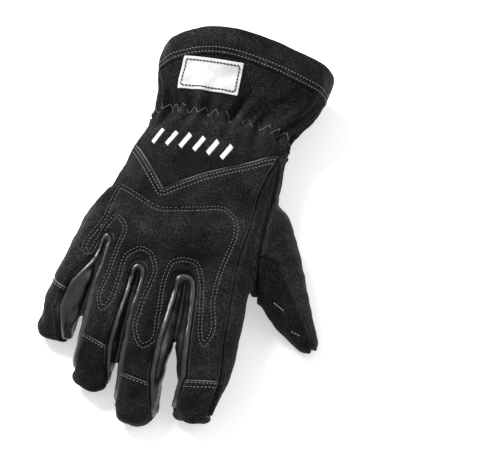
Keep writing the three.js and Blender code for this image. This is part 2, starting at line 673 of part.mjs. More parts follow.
function addPiece(name, solid, material) {
  const mesh = mainBody(solid).getMesh();
  const geometry = new THREE.BufferGeometry();
  const positions = new Float32Array(mesh.numVert * 3);
  for (let i = 0; i < mesh.numVert; i += 1) {
    const point = new THREE.Vector3().fromArray(mesh.vertProperties, i * mesh.numProp);
    rested(curled(point)).toArray(positions, i * 3);
  }
  geometry.setAttribute("position", new THREE.BufferAttribute(positions, 3));
  geometry.setIndex(new THREE.BufferAttribute(new Uint32Array(mesh.triVerts), 1));
  geometry.computeVertexNormals();
  const piece = new THREE.Mesh(geometry, material);
  piece.name = name;
  glove.add(piece);
}

// The cuff and wrist
addPiece("cuff_band", shell.intersect(fullHeight(beyond(rimLine(BAND_WIDTH), FAR))), materials.suede);
addPiece(
  "wrist_back",
  wristShell.intersect(aboveSeam).intersect(fullHeight(beyond(yokeEdge, FAR))),
  materials.suede,
);
addPiece(
  "wrist_palm",
  wristShell.intersect(belowSeam).intersect(fullHeight(beyond(heelEdge, FAR))),
  materials.suede,
);
addPiece(
  "label",
  layerOver(LABEL_THICKNESS).intersect(prism(labelOutline, SIDE_SEAM_HEIGHT, HIGH)),
  materials.label,
);

// The hand's panels and their patches
addPiece("hand_back", handPanels.intersect(aboveSeam).subtract(tipRegion("cap", SEAM_GAP)), materials.suede);
addPiece(
  "hand_palm",
  handPanels.intersect(belowSeam).subtract(tipRegion("pad", SEAM_GAP)),
  materials.suede,
);
addPiece("palm_patch", patchLayer.intersect(patchRegion), materials.suede);
addPiece("heel_patch", patchLayer.intersect(prism(heelPatchOutline, LOW, HEEL_PATCH_TOP)), materials.suede);

// The fingers
for (const finger of FINGERS) {
  const cap = fullHeight(tipOutline(finger, finger.cap));
  const pad = fullHeight(tipOutline(finger, finger.pad));
  addPiece(`fingertip_cap_${finger.name}`, handPanels.intersect(aboveSeam).intersect(cap), materials.suede);
  addPiece(`finger_pad_${finger.name}`, handPanels.intersect(belowSeam).intersect(pad), materials.suede);
}
for (const fork of forks) addPiece(fork.name, shell.intersect(fork.region()), materials.grain);
addPiece("index_side_strip", handShell.intersect(sideStripRegion()), materials.suede);

// The thumb
addPiece(
  "thumb_outer",
  handShell.intersect(thumbOuterRegion()).subtract(sideStripRegion(SEAM_GAP)),
  materials.suede,
);
addPiece(
  "thumb_inner",
  handShell.intersect(thumbInnerRegion())
    .subtract(thumbOuterRegion(SEAM_GAP))
    .subtract(sideStripRegion(SEAM_GAP)),
  materials.suede,
);

// The origin lies on the surface under the middle of the glove.
const middle = new THREE.Box3().setFromObject(glove).getCenter(new THREE.Vector3());
glove.position.set(-middle.x, -middle.y, 0);

export default glove;
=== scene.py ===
# A firefighter's suede glove for the right hand, lying palm down on a pale floor.
#
# The glove is drawn once as a smooth form with straight fingers, in millimetres. Its surface is cut
# into the sewn panels, each panel gets its relief and its leather wall, and then the fingers are
# curled down to the floor. Stitches are made along the seams by Geometry Nodes.

import math

import bpy
import numpy as np
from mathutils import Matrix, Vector
from mathutils.bvhtree import BVHTree


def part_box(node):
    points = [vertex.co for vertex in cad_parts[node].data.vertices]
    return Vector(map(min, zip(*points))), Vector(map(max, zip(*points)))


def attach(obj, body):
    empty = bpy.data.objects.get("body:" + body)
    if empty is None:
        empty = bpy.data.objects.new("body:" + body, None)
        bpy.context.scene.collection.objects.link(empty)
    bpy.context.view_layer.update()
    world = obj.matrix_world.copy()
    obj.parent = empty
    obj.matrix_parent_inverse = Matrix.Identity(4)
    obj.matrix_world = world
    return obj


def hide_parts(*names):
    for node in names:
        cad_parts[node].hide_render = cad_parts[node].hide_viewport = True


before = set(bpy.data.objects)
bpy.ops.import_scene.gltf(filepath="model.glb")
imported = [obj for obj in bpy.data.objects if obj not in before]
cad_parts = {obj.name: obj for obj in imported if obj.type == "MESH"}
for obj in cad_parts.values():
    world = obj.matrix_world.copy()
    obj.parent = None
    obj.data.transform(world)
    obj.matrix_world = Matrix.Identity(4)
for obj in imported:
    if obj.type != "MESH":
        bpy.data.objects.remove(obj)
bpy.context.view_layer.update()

MM = 0.001  # the drawing is in millimetres, and the scene in metres


def columns(names, rows):
    """A table with named columns, from its rows."""
    return {name: np.array(column, float) for name, column in zip(names.split(), zip(*rows))}


# Driving sizes
CUFF_LENGTH = 102.0
PALM_LENGTH = 68.0
PALM_WIDTH = 127.0
WRIST_WIDTH = 94.0
RIM_WIDTH = 119.0
PALM_HEIGHT = 53.0
WRIST_HEIGHT = 47.0
RIM_HEIGHT = 62.0
RIM_CROWN = 9.5
RIM_MEAN = 0.32
RIM_LEAN = 4.5
RIM_SKEW = 8.5
BAND_WIDTH = 20.0
SIDE_SEAM_HEIGHT = 31.0
FINGER_HEIGHT = 33.0
FINGER_THICKNESS = 29.0
THUMB_LENGTH = 117.0
THUMB_WIDTH = 52.0
THUMB_THICKNESS = 40.0
THUMB_LEAN = math.radians(38.4)
CUFF_HEIGHT_FROM = 0.46
KNUCKLE_STEP = (-0.17, -0.42, 0.25)
SQUARENESS = 2.35
CURL_POWER = 1.2
REST_ALONG = 0.9
REST_THICK = 0.77
REST_PRESS = 0.6
WEB_BLEND = 5.0

# The leather
WALL = 2.0
BAND_WALL = 3.0
OVERLAY = 1.1
OVERLAY_CLEAR = 0.3
SEAM_HALF_GAP = 0.07
PATCH_INSET = 1.2
HEEL_PATCH_TOP = 24.0
LABEL_SIZE = (42.0, 21.5)
LABEL_THICKNESS = 0.8
LABEL_TURN = math.radians(3)

# How fine the surface is
GRID_STEP = 0.85
FORM_BLEND = 4.0  # how softly the fingers and the thumb grow out of the palm
FINGER_BLEND = 1.0
END_ROUNDING = 5.0

FINGER_NAMES = ("little", "ring", "middle", "index")
FINGERS = columns(
    "x y lean length width root taper thick backFrom backTo palmFrom palmTo cap pad",
    [
        (-0.4515, -0.735, -9, 83, 26, 0.86, 0.02, 0.86, -1.6, -0.1, -1.6, 0.7, 0.56, 0.4),
        (-0.286, -0.87, 0.3, 100, 29, 0.9, 0.1, 0.94, -0.84, 0.5, -0.72, 0.72, 0.67, 0.41),
        (-0.057, -0.98, 3.7, 109, 33, 0.87, 0.12, 1, -0.85, 0.42, -0.72, 0.74, 0.72, 0.42),
        (0.262, -0.98, 4, 98.5, 41, 0.95, 0.31, 1.03, -0.58, 0.52, -0.74, 0.8, 0.7, 0.46),
    ],
)
FORKS = (-0.9, -1.14, -1.14)
WEB_ENDS = (57.0, 68.0, 42.0)  # how far past each fork the two fingers' gussets still touch
WEB_HIGH = 6.5
WEB_LOW = 0.4
WEB_EASE = np.array([-8.0, 10.0])  # how gently a web starts and ends
FINGER_OPENS = 0.45  # by this share of its length a finger has its full width
FINGER_TAPERS = 0.4  # and from this one on it narrows
FINGER_SECTIONS = columns(
    "along width thick",
    [
        (-0.34, 0.45, 0.5),
        (0, 1, 0.97),
        (0.25, 1, 1),
        (0.52, 1, 0.96),
        (0.78, 0.99, 0.88),
        (1.1, 0.98, 0.86),
    ],
)
FINGER_TIP = (0.74, 1.005, 4.2)  # where the tip starts and ends, and how square it is
THUMB_START = (0.236 * PALM_WIDTH, -0.044 * PALM_LENGTH)
THUMB_RIDGE = [(0.5, 0.05), (0.68, 0.06), (0.85, 0.05), (1.06, 0.02)]
THUMB_SECTIONS = columns(
    "along height width thick",
    [
        (0, 0.64, 0.6, 0.7),
        (0.2, 0.62, 0.93, 1),
        (0.38, 0.56, 0.87, 0.95),
        (0.58, 0.45, 0.71, 0.83),
        (0.78, 0.32, 0.5, 0.66),
        (0.92, 0.25, 0.4, 0.56),
        (1.1, 0.21, 0.4, 0.58),
    ],
)
THUMB_TIP = (0.86, 1.005, 2.2)
BODY_SECTIONS = columns(
    "along centre widen top under patched",
    [
        (1.3, 0.075, 1, 1, -0.03, 0),
        (1, 0.075, 1, 1, -0.03, 0),
        (0.84, 0.073, 0.97, 0.98, -0.03, 0),
        (0.7, 0.066, 0.72, 0.96, -0.01, 0),
        (0.57, 0.047, 0.28, 0.98, 0.01, 0),
        (0.46, 0.033, 0, 0.97, 0.03, 0),
        (0.34, 0.027, 0.08, 1, 0.01, 1),
        (0.15, 0.0185, 0.325, 1, -0.03, 1),
        (-0.06, 0.012, 0.51, 1, -0.04, 1),
        (-0.36, -0.003, 0.66, 0.985, 0.02, 1),
        (-0.64, -0.018, 0.75, 0.955, 0.13, 1),
        (-0.88, -0.0425, 0.855, 0.905, 0.26, 1),
        (-0.985, -0.048, 0.86, 0.81, 0.36, 1),
        (-1.03, -0.0516, 0.834, 0.66, 0.48, 1),
    ],
)
BODY_END = -1.03

# Seams and patches in plan, as shares of the half palm width (x) and of the cuff length or palm
# length (y), the side that y's sign says
YOKE_EDGE = [
    (-1.3, 0.55), (-0.84, 0.2), (-0.32, -0.27), (0.02, -0.03), (0.4, 0.125), (0.76, 0.31), (1.3, 0.56),
]
HEEL_EDGE = [(-1.3, 0.42), (0, 0.36), (1.3, 0.42)]
INDEX_SIDE_EDGE = [(0.76, 0.31), (0.69, 0.03), (0.68, -0.41), (0.665, -0.9)]
THUMB_EDGE = [(0.76, 0.33), (0.83, 0.01), (0.85, -0.43), (0.86, -0.66)]
THENAR_EDGE = [(-0.08, 0.35), (0, 0.1), (0.16, -0.2), (0.42, -0.55), (0.72, -0.8)]
THUMB_FORK = (0.9, -0.93)
PALM_PATCH_TOP = [(-1.3, -0.34), (-0.6, -0.44), (0.1, -0.52), (0.62, -0.59)]
HEEL_PATCH = [(-1.1, 0.3), (-0.5, 0.3), (-0.4, 0.25), (-0.37, 0.15), (-0.4, 0.06), (-0.52, 0.02), (-1.1, 0)]
LABEL_CENTRE = (-0.175, 0.698)

# The quilted pad's edge: on the hand in plan shares, and on a finger its share along and aside
QUILT_EDGE = [
    ("hand", -0.8, -0.29), ("hand", -0.56, -0.4), ("hand", -0.28, -0.49), ("hand", -0.08, -0.44),
    ("hand", 0.15, -0.385), ("hand", 0.4, -0.335), ("hand", 0.51, -0.4), ("hand", 0.56, -0.53),
    ("hand", 0.547, -0.714), ("index", -0.04, 0), ("index", 0.07, -0.06), ("index", 0.19, -0.07),
    ("index", 0.41, 0.09), ("index", 0.48, -0.11), ("index", 0.42, -0.27), ("index", 0.26, -0.41),
    ("index", 0.05, -0.65), ("hand", 0.238, -0.939), ("hand", 0.104, -0.933), ("hand", -0.011, -0.993),
    ("middle", 0.06, 0.34), ("middle", 0.34, 0.29), ("middle", 0.5, 0.22), ("middle", 0.53, -0.12),
    ("middle", 0.47, -0.48), ("middle", 0.27, -0.47), ("middle", 0.05, -0.31), ("hand", -0.282, -0.94),
    ("hand", -0.38, -0.925), ("ring", 0.08, 0.45), ("ring", 0.27, 0.25), ("ring", 0.43, 0.07),
    ("ring", 0.47, -0.18), ("ring", 0.42, -0.41), ("ring", 0.25, -0.35), ("ring", 0.05, -0.24),
    ("hand", -0.61, -0.735), ("hand", -0.665, -0.675), ("hand", -0.735, -0.645), ("little", -0.04, 0.66),
    ("little", 0.16, 0.46), ("little", 0.26, 0.29), ("little", 0.26, 0.04), ("little", 0.2, -0.09),
    ("little", 0.09, 0.1), ("little", -0.06, 0.27), ("hand", -0.83, -0.55), ("hand", -0.82, -0.43),
]

FAR = 400.0


def smooth(value, start, end):
    """0 before start, 1 after end, and an even rise between them."""
    t = np.clip((value - start) / (end - start), 0, 1)
    return t * t * (3 - 2 * t)


def mix(a, b, share):
    return a + (b - a) * share


def bell(distance, reach):
    """1 at distance 0, fading out over the reach."""
    return np.exp(-((distance / reach) ** 2))


def through(xs, ys, x):
    """A smooth curve through the points xs, ys, held level past its ends."""
    slopes = np.gradient(ys, xs)
    x = np.clip(x, xs[0], xs[-1])
    i = np.clip(np.searchsorted(xs, x) - 1, 0, len(xs) - 2)
    span = xs[i + 1] - xs[i]
    t = (x - xs[i]) / span
    start = ys[i] * (1 + 2 * t) * (1 - t) ** 2 + slopes[i] * span * t * (1 - t) ** 2
    end = ys[i + 1] * t * t * (3 - 2 * t) - slopes[i + 1] * span * t * t * (1 - t)
    return start + end


def plan(point):
    """A seam's point in plan, from shares to millimetres."""
    x, y = point
    return (x * PALM_WIDTH / 2, y * (CUFF_LENGTH if y > 0 else PALM_LENGTH))


def rim_reach(aside):
    """How far the rim lies beyond CUFF_LENGTH, by a share of half its width."""
    return RIM_LEAN * aside + RIM_CROWN * (RIM_MEAN - aside**2) - RIM_SKEW * (aside - aside**3)


# The glove's smooth form


def body_stations():
    """The body's sections in millimetres, from the fingers to the rim."""
    t = {name: column[::-1] for name, column in BODY_SECTIONS.items()}
    along = t["along"]
    flare = smooth(along, CUFF_HEIGHT_FROM, 0.95)
    palm_share = smooth(-along, -0.4, 0.1)
    height = np.where(
        along > CUFF_HEIGHT_FROM,
        mix(WRIST_HEIGHT, RIM_HEIGHT, flare),
        mix(WRIST_HEIGHT, PALM_HEIGHT, palm_share),
    )
    wide = np.where(along > CUFF_HEIGHT_FROM, RIM_WIDTH, PALM_WIDTH)
    return {
        "y": along * np.where(along > 0, CUFF_LENGTH, PALM_LENGTH),
        "centre": t["centre"] * PALM_WIDTH,
        "half": mix(WRIST_WIDTH, wide, t["widen"]) / 2,
        "top": t["top"] * height,
        "under": t["under"] * height,
    }


BODY = body_stations()
SOLVE_ROUNDS = 14


def along_of(station):
    return station / np.where(station > 0, CUFF_LENGTH, PALM_LENGTH)


def station_shift(station, x):
    """How far a point of a body section lies ahead of its section's own line."""
    along = along_of(station)
    centre = through(BODY["y"], BODY["centre"], station)
    half = through(BODY["y"], BODY["half"], station)
    rim = smooth(along, 0.5, 1) * rim_reach(np.clip((x - centre) / half, -1.15, 1.15))
    start, end, share = KNUCKLE_STEP
    return rim + smooth(-along, 0.1, 0.95) * smooth(x / PALM_WIDTH, start, end) * share * PALM_LENGTH


def station_at(x, y):
    """The body section on which a point in plan lies."""
    station = y.copy()
    for _ in range(SOLVE_ROUNDS):
        station = y - station_shift(station, x)
    return station


def section_distance(u, v, half, reach):
    """About how far a point lies outside a section, by its place across it and up it."""
    a = np.maximum(np.abs(u) / half, 1e-4)
    b = np.maximum(np.abs(v) / reach, 1e-4)
    n = SQUARENESS
    full = (a**n + b**n) ** (1 / n)
    slope = full ** (1 - n) * np.sqrt((a ** (n - 1) / half) ** 2 + (b ** (n - 1) / reach) ** 2)
    return (full - 1) / slope


def soft_min(a, b, blend):
    near = np.maximum(blend - np.abs(a - b), 0) / blend
    return np.minimum(a, b) - near * near * blend / 4


def body_form(x, y, z):
    station = station_at(x, y)
    top = through(BODY["y"], BODY["top"], station)
    under = through(BODY["y"], BODY["under"], station)
    half = through(BODY["y"], BODY["half"], station)
    centre = through(BODY["y"], BODY["centre"], station)
    side = section_distance(x - centre, z - (top + under) / 2, half, (top - under) / 2)
    end = BODY_END * PALM_LENGTH - station
    return -soft_min(-side, -end, END_ROUNDING)


def tip_share(along, tip):
    """How much of its section is left towards a rounded tip."""
    start, end, power = tip
    t = np.clip((along - start) / (end - start), 0, 1)
    return np.maximum((1 - t**power), 1e-5) ** (1 / power)


def finger_frame(i):
    """Where finger i leaves the palm, and its directions ahead and across in plan."""
    lean = math.radians(FINGERS["lean"][i])
    base = np.array([FINGERS["x"][i] * PALM_WIDTH, FINGERS["y"][i] * PALM_LENGTH])
    return base, np.array([math.sin(lean), -math.cos(lean)]), np.array([math.cos(lean), math.sin(lean)])


TIP_BENDS = (0.0, 0.0, 0.0, -2.6)
TIP_BEND_FROM = 0.7


def tip_bend(i, share):
    """How far finger i's tip lies aside of its straight line."""
    return TIP_BENDS[i] * smooth(share, TIP_BEND_FROM, 1)


def half_width_at(i, share):
    """Half a finger's width along its length, before its tip rounds off."""
    opened = mix(FINGERS["root"][i], 1, smooth(share, 0, FINGER_OPENS))
    tapered = 1 - FINGERS["taper"][i] * smooth(share, FINGER_TAPERS, 1)
    return FINGERS["width"][i] / 2 * opened * tapered


def digit_distance(along, aside, high, sections, tip, half, reach):
    """How far a point lies outside a finger or the thumb."""
    left = tip_share(along, tip)
    width = through(sections["along"], sections["width"], along) * half * left
    thick = through(sections["along"], sections["thick"], along) * reach * left
    apart = section_distance(aside, high, np.maximum(width, 0.05), np.maximum(thick, 0.05))
    past_end = np.maximum(along - tip[1], 0) * THUMB_LENGTH
    before_start = np.maximum(sections["along"][0] - along, 0) * THUMB_LENGTH
    return apart + past_end + before_start


def finger_form(i, x, y, z):
    base, ahead, across = finger_frame(i)
    dx, dy = x - base[0], y - base[1]
    along = (dx * ahead[0] + dy * ahead[1]) / FINGERS["length"][i]
    aside = dx * across[0] + dy * across[1] - tip_bend(i, along)
    return digit_distance(
        along, aside, z - FINGER_HEIGHT, FINGER_SECTIONS, FINGER_TIP,
        half_width_at(i, along), FINGERS["thick"][i] * FINGER_THICKNESS / 2,
    )


def finger_side(i, side, y):
    """Where finger i's side lies across the hand, at each y."""
    base, ahead, across = finger_frame(i)
    share = (y - base[1]) / ahead[1] / FINGERS["length"][i]
    return base[0] + ahead[0] * share * FINGERS["length"][i] + across[0] * side * half_width_at(i, share)


def web_blend(i, y):
    """How widely finger i and the next one run together: past the fork their gap is closed."""
    past = FORKS[i] * PALM_LENGTH - y
    gap = finger_side(i + 1, -1, y) - finger_side(i, 1, y)
    height = mix(WEB_HIGH, WEB_LOW, smooth(past, *WEB_EASE))
    closed = 1 - smooth(past, *(WEB_ENDS[i] + WEB_EASE))
    return FINGER_BLEND + 2 * closed * np.maximum(gap + height, 0)


THUMB_AHEAD = np.array([math.sin(THUMB_LEAN), -math.cos(THUMB_LEAN)])
THUMB_ACROSS = np.array([math.cos(THUMB_LEAN), math.sin(THUMB_LEAN)])


def thumb_at(share, aside=0.0):
    return tuple(np.array(THUMB_START) + THUMB_AHEAD * share * THUMB_LENGTH + THUMB_ACROSS * aside)


def thumb_form(x, y, z):
    dx, dy = x - THUMB_START[0], y - THUMB_START[1]
    along = (dx * THUMB_AHEAD[0] + dy * THUMB_AHEAD[1]) / THUMB_LENGTH
    aside = dx * THUMB_ACROSS[0] + dy * THUMB_ACROSS[1]
    height = through(THUMB_SECTIONS["along"], THUMB_SECTIONS["height"], along) * THUMB_THICKNESS
    return digit_distance(
        along, aside, z - height, THUMB_SECTIONS, THUMB_TIP, THUMB_WIDTH / 2, THUMB_THICKNESS / 2
    )


def glove_form(x, y, z):
    """The whole glove's form: below 0 inside it, with its fingers straight."""
    fingers = finger_form(0, x, y, z)
    for i in range(1, len(FINGER_NAMES)):
        fingers = soft_min(fingers, finger_form(i, x, y, z), web_blend(i - 1, y))
    hand = soft_min(body_form(x, y, z), thumb_form(x, y, z), FORM_BLEND)
    return soft_min(hand, fingers, FORM_BLEND)


# The grid box that holds the form: left, right, fingertips, past the rim, lowest, highest
GRID_BOX = (-92.0, 110.0, -186.0, 124.0, -8.0, 68.0)


def sampled_form():
    """The form's values on a grid, slab by slab."""
    left, right, near, past, low, high = GRID_BOX
    xs = np.arange(left, right, GRID_STEP)
    ys = np.arange(near, past, GRID_STEP)
    zs = np.arange(low, high, GRID_STEP)
    values = np.empty((len(xs), len(ys), len(zs)), np.float32)
    slab = 24
    for i in range(0, len(xs), slab):
        x, y, z = np.meshgrid(xs[i : i + slab], ys, zs, indexing="ij", sparse=True)
        x2, y2 = np.broadcast_arrays(x[:, :, 0], y[:, :, 0])
        values[i : i + slab] = glove_form(x2[:, :, None], y2[:, :, None], z)
    return values, np.array([xs[0], ys[0], zs[0]])


def surface_nets(values, corner):
    """The surface where the sampled values change sign, as points and four-sided faces."""
    inside = values < 0
    full = tuple(n - 1 for n in values.shape)
    count = np.zeros(full, np.int8)
    for dx in (0, 1):
        for dy in (0, 1):
            for dz in (0, 1):
                count += inside[dx : dx + full[0], dy : dy + full[1], dz : dz + full[2]]
    cells = np.argwhere((count > 0) & (count < 8))
    total = np.zeros((len(cells), 3))
    crossings = np.zeros(len(cells))
    for axis in range(3):
        others = [a for a in range(3) if a != axis]
        for u in (0, 1):
            for v in (0, 1):
                start = cells.copy()
                start[:, others[0]] += u
                start[:, others[1]] += v
                end = start.copy()
                end[:, axis] += 1
                a, b = values[tuple(start.T)], values[tuple(end.T)]
                crossed = (a < 0) != (b < 0)
                share = np.where(crossed, a / np.where(crossed, a - b, 1), 0)
                spot = start.astype(float)
                spot[:, axis] += share
                total += spot * crossed[:, None]
                crossings += crossed
    points = corner + GRID_STEP * total / crossings[:, None]
    number = np.full(full, -1, np.int64)
    number[tuple(cells.T)] = np.arange(len(cells))
    quads = []
    for axis in range(3):
        one, two = [(1, 2), (2, 0), (0, 1)][axis]
        near = [slice(None)] * 3
        far = [slice(None)] * 3
        near[axis], far[axis] = slice(0, -1), slice(1, None)
        for first in (True, False):
            here, there = inside[tuple(near)], inside[tuple(far)]
            edges = np.argwhere(here & ~there if first else ~here & there)
            ok = (edges[:, one] > 0) & (edges[:, two] > 0)
            ok &= (edges[:, one] < full[one]) & (edges[:, two] < full[two])
            edges = edges[ok]
            around = []
            for du, dv in ((1, 1), (0, 1), (0, 0), (1, 0)):
                cell = edges.copy()
                cell[:, one] -= du
                cell[:, two] -= dv
                around.append(number[tuple(cell.T)])
            quad = np.stack(around, 1)
            quads.append(quad if first else quad[:, ::-1])
    return points, np.concatenate(quads)


def evened(points, quads, rounds=3, step=0.5):
    """Spreads the points evenly, and draws them back onto the form each time."""
    edges = np.concatenate([quads[:, [0, 1]], quads[:, [1, 2]], quads[:, [2, 3]], quads[:, [3, 0]]])
    number = len(points)
    shared = np.bincount(edges.ravel(), minlength=number)
    for _ in range(rounds):
        middle = np.stack(
            [
                np.bincount(edges[:, 0], points[edges[:, 1], k], number)
                + np.bincount(edges[:, 1], points[edges[:, 0], k], number)
                for k in range(3)
            ],
            1,
        )
        points = mix(points, middle / shared[:, None], step)
        points = onto_form(points)
    return points


def onto_form(points, reach=0.2):
    """Moves points onto the form along its slope."""
    value = glove_form(*points.T)
    slope = np.stack(
        [glove_form(*(points + offset).T) - value for offset in np.eye(3) * reach], 1
    ) / reach
    steep = np.maximum((slope**2).sum(1), 0.2)
    move = np.clip(value / steep, -GRID_STEP / 2, GRID_STEP / 2)
    return points - slope * move[:, None]


def normals_of(points, tris):
    """Each point's outward direction, from the triangles round it."""
    a, b, c = (points[tris[:, k]] for k in range(3))
    face = np.cross(b - a, c - a)
    number = len(points)
    total = np.stack(
        [sum(np.bincount(tris[:, k], face[:, j], number) for k in range(3)) for j in range(3)], 1
    )
    return total / np.maximum(np.linalg.norm(total, axis=1), 1e-12)[:, None]


# Seams in plan


def rounded_line(points, step=2.5):
    """A smooth line through a seam's points."""
    points = np.array(points, float)
    reach = np.concatenate([[0], np.cumsum(np.linalg.norm(np.diff(points, axis=0), axis=1))])
    at = np.linspace(0, reach[-1], max(2, int(reach[-1] / step)))
    at = np.unique(np.concatenate([at, reach]))
    return [tuple(p) for p in np.stack([through(reach, points[:, k], at) for k in range(2)], 1)]


def beside(i, share, aside):
    """The point beside finger i's centre line, by a share of half its width."""
    base, ahead, across = finger_frame(i)
    aside_mm = aside * half_width_at(i, share) + tip_bend(i, share)
    return tuple(base + ahead * share * FINGERS["length"][i] + across * aside_mm)


def share_at(i, y):
    """The share of finger i's length at which its centre line reaches y."""
    base, ahead, _ = finger_frame(i)
    return (y - base[1]) / ahead[1] / FINGERS["length"][i]


EDGE_START = 0.72
EDGE_SETTLES = 0.35
EDGE_STEPS = (0, 0.09, 0.18, 0.28, 0.38, 0.53, 0.68, 0.84, 1)
FORK_DROP = 5.0
FORK_REACH = 6.0
FORK_SPREAD = 4.2
FORK_STEPS = 9
FOURCHETTE_END = 0.95
EDGE_RUNS_OUT = 0.7  # where a gusset starts to narrow towards the fingertip
NARROWED = (0.6, 0.85, 0.85, 0.85)


def panel_edge(i, side, settled, start):
    """A back or palm panel's edge along a finger: it starts at the fork and settles on its line."""
    edge = []
    for step in EDGE_STEPS:
        share = mix(start, FOURCHETTE_END, step)
        aside = mix(side * EDGE_START, settled, smooth(share, start, start + EDGE_SETTLES))
        narrowed = NARROWED[i] * smooth(share, EDGE_RUNS_OUT, FOURCHETTE_END)
        edge.append(beside(i, share, mix(aside, side, narrowed)))
    return edge


def gusset_end(i, side, settled):
    return [
        beside(i, FOURCHETTE_END + 0.012, mix(settled, side, 0.95)),
        beside(i, FOURCHETTE_END + 0.015, side * 1.06),
    ]


def fourchette_outline(i, face):
    """The gusset between two neighbouring fingers, as it shows on the back or on the palm."""
    y = FORKS[i] * PALM_LENGTH
    left_x = beside(i, share_at(i, y), 1)[0]
    right_x = beside(i + 1, share_at(i + 1, y), -1)[0]
    half = (right_x - left_x) / 2 + FORK_SPREAD
    over = []
    for step in range(FORK_STEPS):
        turn = math.pi * (1 - step / (FORK_STEPS - 1))
        over.append(((left_x + right_x) / 2 + half * math.cos(turn), y + FORK_REACH * math.sin(turn)))
    left_edge = FINGERS[face + "To"][i]
    right_edge = FINGERS[face + "From"][i + 1]
    return (
        over
        + panel_edge(i + 1, -1, right_edge, share_at(i + 1, y - FORK_DROP))
        + gusset_end(i + 1, -1, right_edge)
        + gusset_end(i, 1, left_edge)[::-1]
        + panel_edge(i, 1, left_edge, share_at(i, y - FORK_DROP))[::-1]
    )


PAST_TIP = 12.0
CLEAR_OF_FINGER = 1.12  # shares of half its width, at a tip's edge and past the tip
CLEAR_OF_TIP = 1.3


def tip_outline(i, start, turn=0.0):
    """Everything from a share of finger i's length to past its tip, with its edge turned."""
    length = FINGERS["length"][i]
    past = 1 + PAST_TIP / length
    lean = CLEAR_OF_FINGER * half_width_at(i, start) * math.tan(math.radians(turn)) / length
    left = beside(i, start - lean, -CLEAR_OF_FINGER)
    right = beside(i, start + lean, CLEAR_OF_FINGER)
    return [left, beside(i, past, -CLEAR_OF_TIP), beside(i, past, CLEAR_OF_TIP), right]


CAP_TURNS = (8, 15, 10, -7)  # degrees


def beyond(edge, y):
    """Everything on one side of an edge that crosses the glove, out to a line at y."""
    return list(edge) + [(FAR, edge[-1][1]), (FAR, y), (-FAR, y), (-FAR, edge[0][1])]


def rim_line(back):
    """The rim's line, moved towards the fingers by a distance."""
    centre = BODY_SECTIONS["centre"][1] * PALM_WIDTH
    return [
        (centre + aside * RIM_WIDTH / 2, CUFF_LENGTH - back + rim_reach(aside))
        for aside in np.linspace(-1.2, 1.2, 25)
    ]


INDEX = 3
thumb_fork = plan(THUMB_FORK)
thumb_edge = rounded_line([plan(p) for p in THUMB_EDGE])
thumb_ridge = rounded_line([thumb_at(share, aside * THUMB_WIDTH) for share, aside in THUMB_RIDGE])
wrist_line = 0.6 * CUFF_LENGTH
clear_of_index = [beside(INDEX, 0.5, 1.25), (beside(INDEX, 1, 1.4)[0], -FAR)]
STRIP_END = 0.93
side_strip_end = [beside(INDEX, STRIP_END + 0.045, 1.06), beside(INDEX, 0.5, 1.16)]
side_strip_edge = rounded_line(
    [plan(p) for p in INDEX_SIDE_EDGE]
    + [
        beside(INDEX, share, mix(FINGERS["backTo"][INDEX], 0.74, smooth(share, 0.3, 0.8)))
        for share in (0.12, 0.4, 0.68)
    ]
    + [beside(INDEX, STRIP_END, 0.82)]
)
side_strip_back = side_strip_edge + side_strip_end + [thumb_fork] + thumb_edge[::-1]
side_strip_palm = (
    [beside(INDEX, share, FINGERS["palmTo"][INDEX]) for share in (-0.08, 0.4, STRIP_END)]
    + side_strip_end
    + [beside(INDEX, -0.08, 1.2)]
)
thumb_outer = (
    [(thumb_edge[0][0], wrist_line)]
    + thumb_edge
    + thumb_ridge
    + [(FAR, thumb_ridge[-1][1]), (FAR, wrist_line)]
)
thumb_inner_back = (
    [thumb_edge[-1]]
    + thumb_ridge
    + [(thumb_ridge[-1][0] - 8, -FAR)]
    + clear_of_index[::-1]
    + [thumb_fork]
)
thenar_edge = rounded_line([plan(p) for p in THENAR_EDGE])
thumb_inner_palm = (
    [(thenar_edge[0][0], wrist_line)]
    + thenar_edge
    + [thumb_fork]
    + clear_of_index
    + [(thumb_ridge[-1][0] - 8, -FAR)]
    + thumb_ridge[::-1]
    + thumb_edge[::-1]
    + [(thumb_edge[0][0], wrist_line)]
)
PATCH_ON_FINGER = 0.06
palm_patch_outline = rounded_line([plan(p) for p in PALM_PATCH_TOP]) + [beside(INDEX, -0.12, 0.95)]
for finger in reversed(range(len(FINGER_NAMES))):
    palm_patch_outline += [beside(finger, PATCH_ON_FINGER, 0.85), beside(finger, PATCH_ON_FINGER, -0.85)]
palm_patch_outline += [beside(0, 0, -1.4)]
heel_patch_outline = rounded_line([plan(p) for p in HEEL_PATCH])
yoke_edge = [plan(p) for p in YOKE_EDGE]
heel_edge = rounded_line([plan(p) for p in HEEL_EDGE])


def turned_box(centre, size, turn):
    """A rectangle's corners in plan."""
    corners = []
    for sx, sy in ((-1, -1), (1, -1), (1, 1), (-1, 1)):
        x, y = sx * size[0] / 2, sy * size[1] / 2
        corners.append(
            (
                centre[0] + x * math.cos(turn) - y * math.sin(turn),
                centre[1] + x * math.sin(turn) + y * math.cos(turn),
            )
        )
    return corners


label_centre = plan(LABEL_CENTRE)
label_outline = turned_box(label_centre, LABEL_SIZE, LABEL_TURN)


def quilt_point(place, along, aside):
    """A point of the quilted pad's edge, on the hand or on a finger."""
    if place == "hand":
        return plan((along, aside))
    return beside(FINGER_NAMES.index(place), along, aside)


quilt_outline = rounded_line([quilt_point(*row) for row in QUILT_EDGE + QUILT_EDGE[:1]], 1.5)[:-1]


# Distances from the seams, measured over the leather


